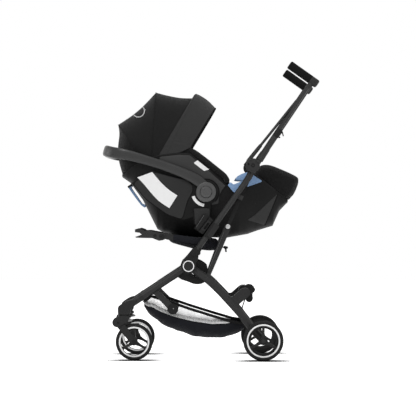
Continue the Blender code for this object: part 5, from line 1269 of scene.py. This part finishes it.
CARRY_PATH = [
    (-0.013, 0.6, 0.1745, 0.036), (-0.04, 0.625, 0.1745, 0.036), (-0.085, 0.6495, 0.1745, 0.0335),
    (-0.148, 0.6745, 0.1745, 0.032), (-0.206, 0.6935, 0.1745, 0.032), (-0.266, 0.711, 0.1745, 0.0345),
    (-0.308, 0.7205, 0.1715, 0.0375), (-0.338, 0.7255, 0.156, 0.039), (-0.355, 0.7298, 0.128, 0.0395),
    (-0.362, 0.7323, 0.09, 0.0395), (-0.3637, 0.7333, 0.04, 0.0395),
]
CARRY_DISC_Y = 0.1825
CARRY_BUTTON_Y = 0.186
CARRY_TILT = math.radians(15)
CARRY_DISC = (
    (-0.0153, 0.035), (-0.003, 0.035), (-0.0008, 0.034), (0.0, 0.0322), (0.0, 0.0213), (-0.001, 0.0203),
    (-0.0153, 0.0203),
)
CARRY_BUTTON = ((-0.0122, 0.02), (-0.0022, 0.02), (-0.0006, 0.019), (0.0, 0.0172), (0.0, 0.0003))


def make_carry_handle():
    """The carrying bar from disc to disc over the head end, and its release buttons."""
    near = [(x, -y, z, height) for x, z, y, height in CARRY_PATH]
    far = [(x, -y, z, height) for x, y, z, height in reversed(near)]
    stations = spline(near + far, 5)
    up = Vector((math.sin(CARRY_TILT), 0, math.cos(CARRY_TILT)))
    rows = []
    for i, (x, y, z, height) in enumerate(stations):
        before = Vector(stations[max(i - 1, 0)][:3])
        after = Vector(stations[min(i + 1, len(stations) - 1)][:3])
        heading = (after - before).normalized()
        across = heading.cross(up).normalized()
        lift = across.cross(heading).normalized()
        bulk = 0.0075 + 0.005 * (1 - min(1.0, max(0.0, (abs(y) - 0.13) / 0.04)))
        centre = Vector((x, y, z))
        rows.append([tuple(centre + across * (c * bulk) + lift * (s * height / 2)) for c, s in ring(32, 0.6)])
    pieces = [loft("carry_bar", rows, CARRY_PLASTIC, closed=True, caps=True, angle=50)]
    for _, side in SIDES:
        profile = turned(side * CARRY_DISC_Y, side, *CARRY_DISC)
        pieces.append(lathe("carry_disc", CARRY_HUB, profile, DISC_PLASTIC, 72, loop=True))
    dress(merge("carry_handle_body", *pieces), "carry_handle", "black_plastic", "carry_handle")
    crescent = arc(CARRY_HUB, 0.015, 120, 300, 20) + arc((-0.009, 0.589), 0.012, 290, 130, 20)
    for word, side in SIDES:
        face = side * CARRY_BUTTON_Y
        button = lathe("button_body", CARRY_HUB, turned(face, side, *CARRY_BUTTON), DISC_PLASTIC, 64)
        ridge = plate("button_ridge", [crescent], *pair(side, -0.0002, 0.001, face), DISC_PLASTIC, 0.0004, 2)
        body = "handle_button_" + word
        dress(merge("release_button_" + word, button, ridge), body, "grey_plastic", "handle_button_" + word)


BELT_HOOK_OUTLINE = [
    (0.0625, 0.6118), (0.073, 0.6216), (0.0839, 0.6136), (0.1104, 0.6244), (0.1185, 0.6285),
    (0.1017, 0.6292), (0.0891, 0.631), (0.0961, 0.6422), (0.1122, 0.651), (0.1339, 0.6573), (0.1559, 0.644),
    (0.1856, 0.6244), (0.1356, 0.6066), (0.0954, 0.59), (0.0874, 0.585), (0.0804, 0.59),
]


def make_belt_hook(word, side):
    outline = rounded(BELT_HOOK_OUTLINE, 0.18)
    hook = plate("belt_guide_" + word, [outline], *pair(side, 0.1526, 0.1586), BLUE, 0.0012, 3)
    dress(hook, "carrier", "blue_plastic", "belt_hook_" + word)


def make_guide_mount():
    """The black foot that holds the rear belt guide's top."""
    outline = [(-0.277, 0.6185), (-0.2915, 0.6085), (-0.2885, 0.602), (-0.281, 0.607), (-0.2745, 0.6112)]
    mount = plate("rear_guide_mount", [rounded(outline, 0.15)], -0.047, 0.047, PLASTIC, 0.001, 2)
    dress(mount, "carrier", "black_plastic")


MUFF_HALF_WIDTH = 0.128
MUFF_OUTLINE = [
    (0.1545, 0.6526), (0.164, 0.6665), (0.181, 0.6815), (0.212, 0.6815), (0.251, 0.6669), (0.28, 0.6544),
    (0.308, 0.64), (0.3148, 0.6312), (0.3091, 0.6116), (0.2995, 0.5884), (0.2838, 0.5612), (0.279, 0.5578),
]


def make_muff():
    """The padded muff: its outline shrinks a little towards a point inside it at both sides."""
    pivot = along(MUFF_OUTLINE[0], MUFF_OUTLINE[-1], 0.55)
    fine = spline(MUFF_OUTLINE, 4)
    rows = []
    for i in range(49):
        y = MUFF_HALF_WIDTH * (i / 24 - 1)
        t = abs(y) / MUFF_HALF_WIDTH
        share = (1 - t**7) * 0.2 + 0.8
        rows.append(at_depth([along(pivot, p, share) for p in fine], y))
    muff = puff(loft("foot_muff_pad", rows, MUFF, closed=True, caps=True), 0.004, 0.0024, 0.0)
    dress(muff, "carrier", "black_fabric", "foot_muff")


CANOPY_CREST = [
    (-0.31, 0.6535, -0.288), (-0.3225, 0.7, -0.272), (-0.3257, 0.748, -0.256), (-0.321, 0.795, -0.242),
    (-0.325, 0.828, -0.232), (-0.298, 0.846, -0.224), (-0.2714, 0.8644, -0.217), (-0.2347, 0.8961, -0.21),
    (-0.1907, 0.9429, -0.203), (-0.15, 0.9325, -0.196), (-0.104, 0.924, -0.189), (-0.0593, 0.9226, -0.18),
]
RIBS = (0, 4, 8, 11)
HOOP_POINTS = 64
EMBLEM_AT = (-0.25, 0.8722)
EMBLEM_RADII = (0.0226, 0.0197)
VISOR_HOOPS = [
    (-0.0583, 0.9234, -0.178, 0.716, 0.1566), (-0.0472, 0.9383, -0.15, 0.7205, 0.1566),
    (-0.0087, 0.9169, -0.105, 0.7265, 0.1565), (0.0217, 0.8872, -0.0637, 0.746, 0.1565),
]


def hoop_row(hoop, grow=0.0):
    """One hoop of the canopy, from hem to hem over its crown."""
    crown_x, crown_z, hem_x, hem_z, half_width = hoop
    row = []
    for i in range(HOOP_POINTS + 1):
        angle = math.pi * i / HOOP_POINTS
        across = math.copysign(abs(math.cos(angle)) ** 0.7, -math.cos(angle))
        rise = math.sin(angle) ** 0.75 if 0 < i < HOOP_POINTS else 0.0
        x, z = along((hem_x, hem_z), (crown_x, crown_z), rise)
        row.append((x, (half_width + grow) * across, z + grow * rise))
    return row


def canopy_hoop(crown_x, crown_z, hem_x):
    return (crown_x, crown_z, hem_x, between(SHELL_RIM, hem_x) + 0.0016, between(SHELL_WIDTH, hem_x) - 0.0005)


def canopy_blend(obj):
    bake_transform(obj)


def make_canopy():
    """The hood over its ribs, with seams and hems, and the visor on the front bow."""
    hoops = []
    for a, b in zip(RIBS, RIBS[1:]):
        hoops += spline(CANOPY_CREST[a : b + 1], 6)[: None if b == RIBS[-1] else -1]
    hood = loft("canopy_sheet", [hoop_row(canopy_hoop(*hoop)) for hoop in hoops], HOOD, thickness=0.002, angle=70)
    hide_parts("canopy")
    trims = []
    for k, rib in enumerate(RIBS[1:3]):
        line = hoop_row(canopy_hoop(*CANOPY_CREST[rib]), 0.0002)
        trims.append(sweep(f"canopy_seam_{k}", line, 0.0012, PIPING, 8, up=(1, 0, 0)))
    for word, side in SIDES:
        hem = []
        for hoop in hoops:
            _, _, hem_x, hem_z, half = canopy_hoop(*hoop)
            hem.append((hem_x, side * (half - 0.0008), hem_z + 0.0012))
        trims.append(sweep("canopy_hem_" + word, hem, 0.0016, PIPING, 8))
    for obj in [hood] + trims:
        canopy_blend(obj)
    rows = [hoop_row(hoop) for hoop in spline(VISOR_HOOPS, 8)]
    visor = loft("canopy_visor_sheet", rows, VISOR, thickness=0.0022, angle=70)
    dress(visor, "canopy_bow", "grey_fabric", "canopy_visor")
    binding = sweep("visor_binding", hoop_row(VISOR_HOOPS[-1]), 0.0018, BINDING_AND_SHADE, 8, up=(1, 0, 0))
    dress(binding, "canopy_bow", "black_fabric")
    crease = sweep("visor_crease", hoop_row(VISOR_HOOPS[1], 0.0001), 0.0008, THREAD, 6, up=(1, 0, 0))
    dress(crease, "canopy_bow", "grey_fabric")
    lines = [arc(EMBLEM_AT, radius, -170, 64, 40) for radius in EMBLEM_RADII]
    emblem = skin("canopy_ring", hood, lines, -1, EMBLEM, 0.0012, 0.0006)
    canopy_blend(emblem)


HEAD_PAD_STATIONS = [
    (-0.235, 0.0, 0.07), (-0.23, 0.006, 0.078), (-0.21, 0.01, 0.082), (-0.195, 0.008, 0.08),
    (-0.188, 0.0, 0.072),
]


def make_head_pad():
    rows = []
    for x, lift, half_width in spline(HEAD_PAD_STATIONS, 5):
        middle, bulge = liner_top(x) + 0.0203, 0.006 + lift
        rows.append([(x, half_width * c, middle + bulge * s + 0.012 * c**2) for c, s in ring(48, 0.6, 1.0)])
    pad = puff(loft("head_cushion", rows, PAD_CLOTH, closed=True, caps=True), 0.0045, 0.006, 0.003)
    dress(pad, "carrier", "grey_fabric", "head_pad")


BUCKLE_X = -0.044
STRAP_TOP_Y = 0.038
STRAP_LOW_Y = 0.014
STRAP_SECTION = ((-1, 0.2), (-0.93, 0), (0.93, 0), (1, 0.2), (1, 0.8), (0.93, 1), (-0.93, 1), (-1, 0.8))


def make_harness():
    """The buckle on the seat, and two straps that run down to it."""
    outline = [(-0.069, -0.015), (-0.064, -0.021), (-0.024, -0.021), (-0.019, -0.012)]
    outline += [(-0.019, 0.012), (-0.024, 0.021), (-0.064, 0.021), (-0.069, 0.015)]
    block = plate("buckle", [rounded(outline, 0.25)], -0.0065, 0.0065, PLASTIC, 0.0025, 3)
    place = Matrix.Translation((0, 0, liner_top(BUCKLE_X) + 0.0128))
    block.data.transform(place @ Matrix.Rotation(-math.pi / 2, 4, "X"))
    pieces = [block]
    stations = steps(-0.195, BUCKLE_X, 0.006)
    for word, side in SIDES:
        rows = []
        for k, x in enumerate(stations):
            share = k / (len(stations) - 1)
            y = side * (STRAP_TOP_Y + (STRAP_LOW_Y - STRAP_TOP_Y) * share**2)
            low = liner_top(x) + 0.0058
            rows.append([(x, y + 0.015 * a, low + 0.0025 * b) for a, b in STRAP_SECTION])
        pieces.append(loft("strap_" + word, rows, WEBBING, closed=True, caps=True, angle=40))
    dress(merge("harness_straps", *pieces), "carrier", "black_fabric", "harness")


# ---------------------------------------------------------------- light and floor


def seen_directly(tree):
    """1 for what the camera, a reflection or a see-through surface sees, and 0 for light that spreads."""
    path = tree.nodes.new("ShaderNodeLightPath")
    seen = maths(tree, "ADD", path.outputs["Is Camera Ray"], path.outputs["Is Glossy Ray"])
    return maths(tree, "MINIMUM", maths(tree, "ADD", seen, path.outputs["Is Transmission Ray"]), 1.0)


def make_studio():
    """An even white world, a floor that glows with contact shadows painted into its colour and glow by ambient
    occlusion, and the lamps.
    """
    world = bpy.data.worlds.new("studio")
    bpy.context.scene.world = world
    world.use_nodes = True
    tree = world.node_tree
    background = tree.nodes["Background"]
    background.inputs["Color"].default_value = (1, 1, 1, 1)
    strength = maths(tree, "ADD", maths(tree, "MULTIPLY", seen_directly(tree), 1.0 - WORLD_LIGHT), WORLD_LIGHT)
    tree.links.new(strength, background.inputs["Strength"])
    mesh = bpy.data.meshes.new("floor")
    mesh.from_pydata([(-9, -9, 0), (9, -9, 0), (9, 9, 0), (-9, 9, 0)], [], [(0, 1, 2, 3)])
    floor = link(bpy.data.objects.new("floor", mesh))
    made = bpy.data.materials.new("floor")
    made.use_nodes = True
    tree = made.node_tree
    shader = tree.nodes["Principled BSDF"]
    # Painted shadow: ambient occlusion darkens the floor's colour and its glow next to the wheels.
    near = tree.nodes.new("ShaderNodeAmbientOcclusion")
    near.samples = 12
    near.inputs["Distance"].default_value = 0.07
    shade = maths(tree, "POWER", near.outputs["AO"], 9.0)
    stops = [(0.0, (0.01, 0.01, 0.01, 1)), (1.0, (0.86, 0.86, 0.86, 1))]
    tree.links.new(ramp(tree, shade, stops), shader.inputs["Base Color"])
    shader.inputs["Roughness"].default_value = 0.9
    shader.inputs["Specular IOR Level"].default_value = 0.0
    shader.inputs["Emission Color"].default_value = (1, 1, 1, 1)
    glow = maths(tree, "MULTIPLY", maths(tree, "MULTIPLY", seen_directly(tree), FLOOR_GLOW), shade)
    tree.links.new(glow, shader.inputs["Emission Strength"])
    mesh.materials.append(made)
    for name, place, size, power in LAMPS:
        data = bpy.data.lights.new(name, "AREA")
        data.shape = "DISK"
        data.size = size
        data.energy = power
        lamp = link(bpy.data.objects.new(name, data))
        lamp.location = place
        lamp.rotation_euler = (Vector((0.0, 0.0, 0.45)) - Vector(place)).to_track_quat("-Z", "Y").to_euler()
    data = bpy.data.lights.new("overhead", "SUN")
    data.energy = DAYLIGHT
    data.angle = math.radians(90)
    link(bpy.data.objects.new("overhead", data))
    bpy.context.scene.view_settings.view_transform = "Standard"


WORLD_LIGHT = 0.46
FLOOR_GLOW = 0.85
DAYLIGHT = 0.45
LAMPS = (
    ("key", (-1.2, -3.0, 3.4), 1.8, 80.0),
    ("side", (-3.4, 0.4, 1.3), 1.6, 14.0),
    ("fill", (3.0, -2.4, 1.6), 2.4, 25.0),
)


def paint_sides(word, side):
    paint(FRAME_PAINT, "push_tube_" + word, "rear_leg_" + word, "fold_strut_" + word, "handle_pole_" + word)
    paint(PLASTIC, "seat_rail_" + word, "adapter_" + word, "fold_link_" + word)


def make_all():
    paired = (
        make_hub, make_front_leg, make_caster, make_wheels, make_hinge, make_grip, make_link_trim, make_tubes,
        make_adapter, make_rail, make_rim_roll, make_side_panel, make_upper_panel, make_belt_hook, paint_sides,
    )
    for word, side in SIDES:
        for make in paired:
            make(word, side)
    paint(DARK_PAINT, "front_crossbar", "seat_crossbar", "rear_crossbar")
    paint(PLASTIC, "bag_hook")
    paint(BLUE, "rear_belt_guide")
    for make in (
        make_latch, make_guide_mount, make_pedal, make_cable, make_basket, make_seat_base, make_shell, make_liner,
        make_carry_handle, make_muff, make_canopy, make_head_pad, make_harness, make_studio,
    ):
        make()


make_all()
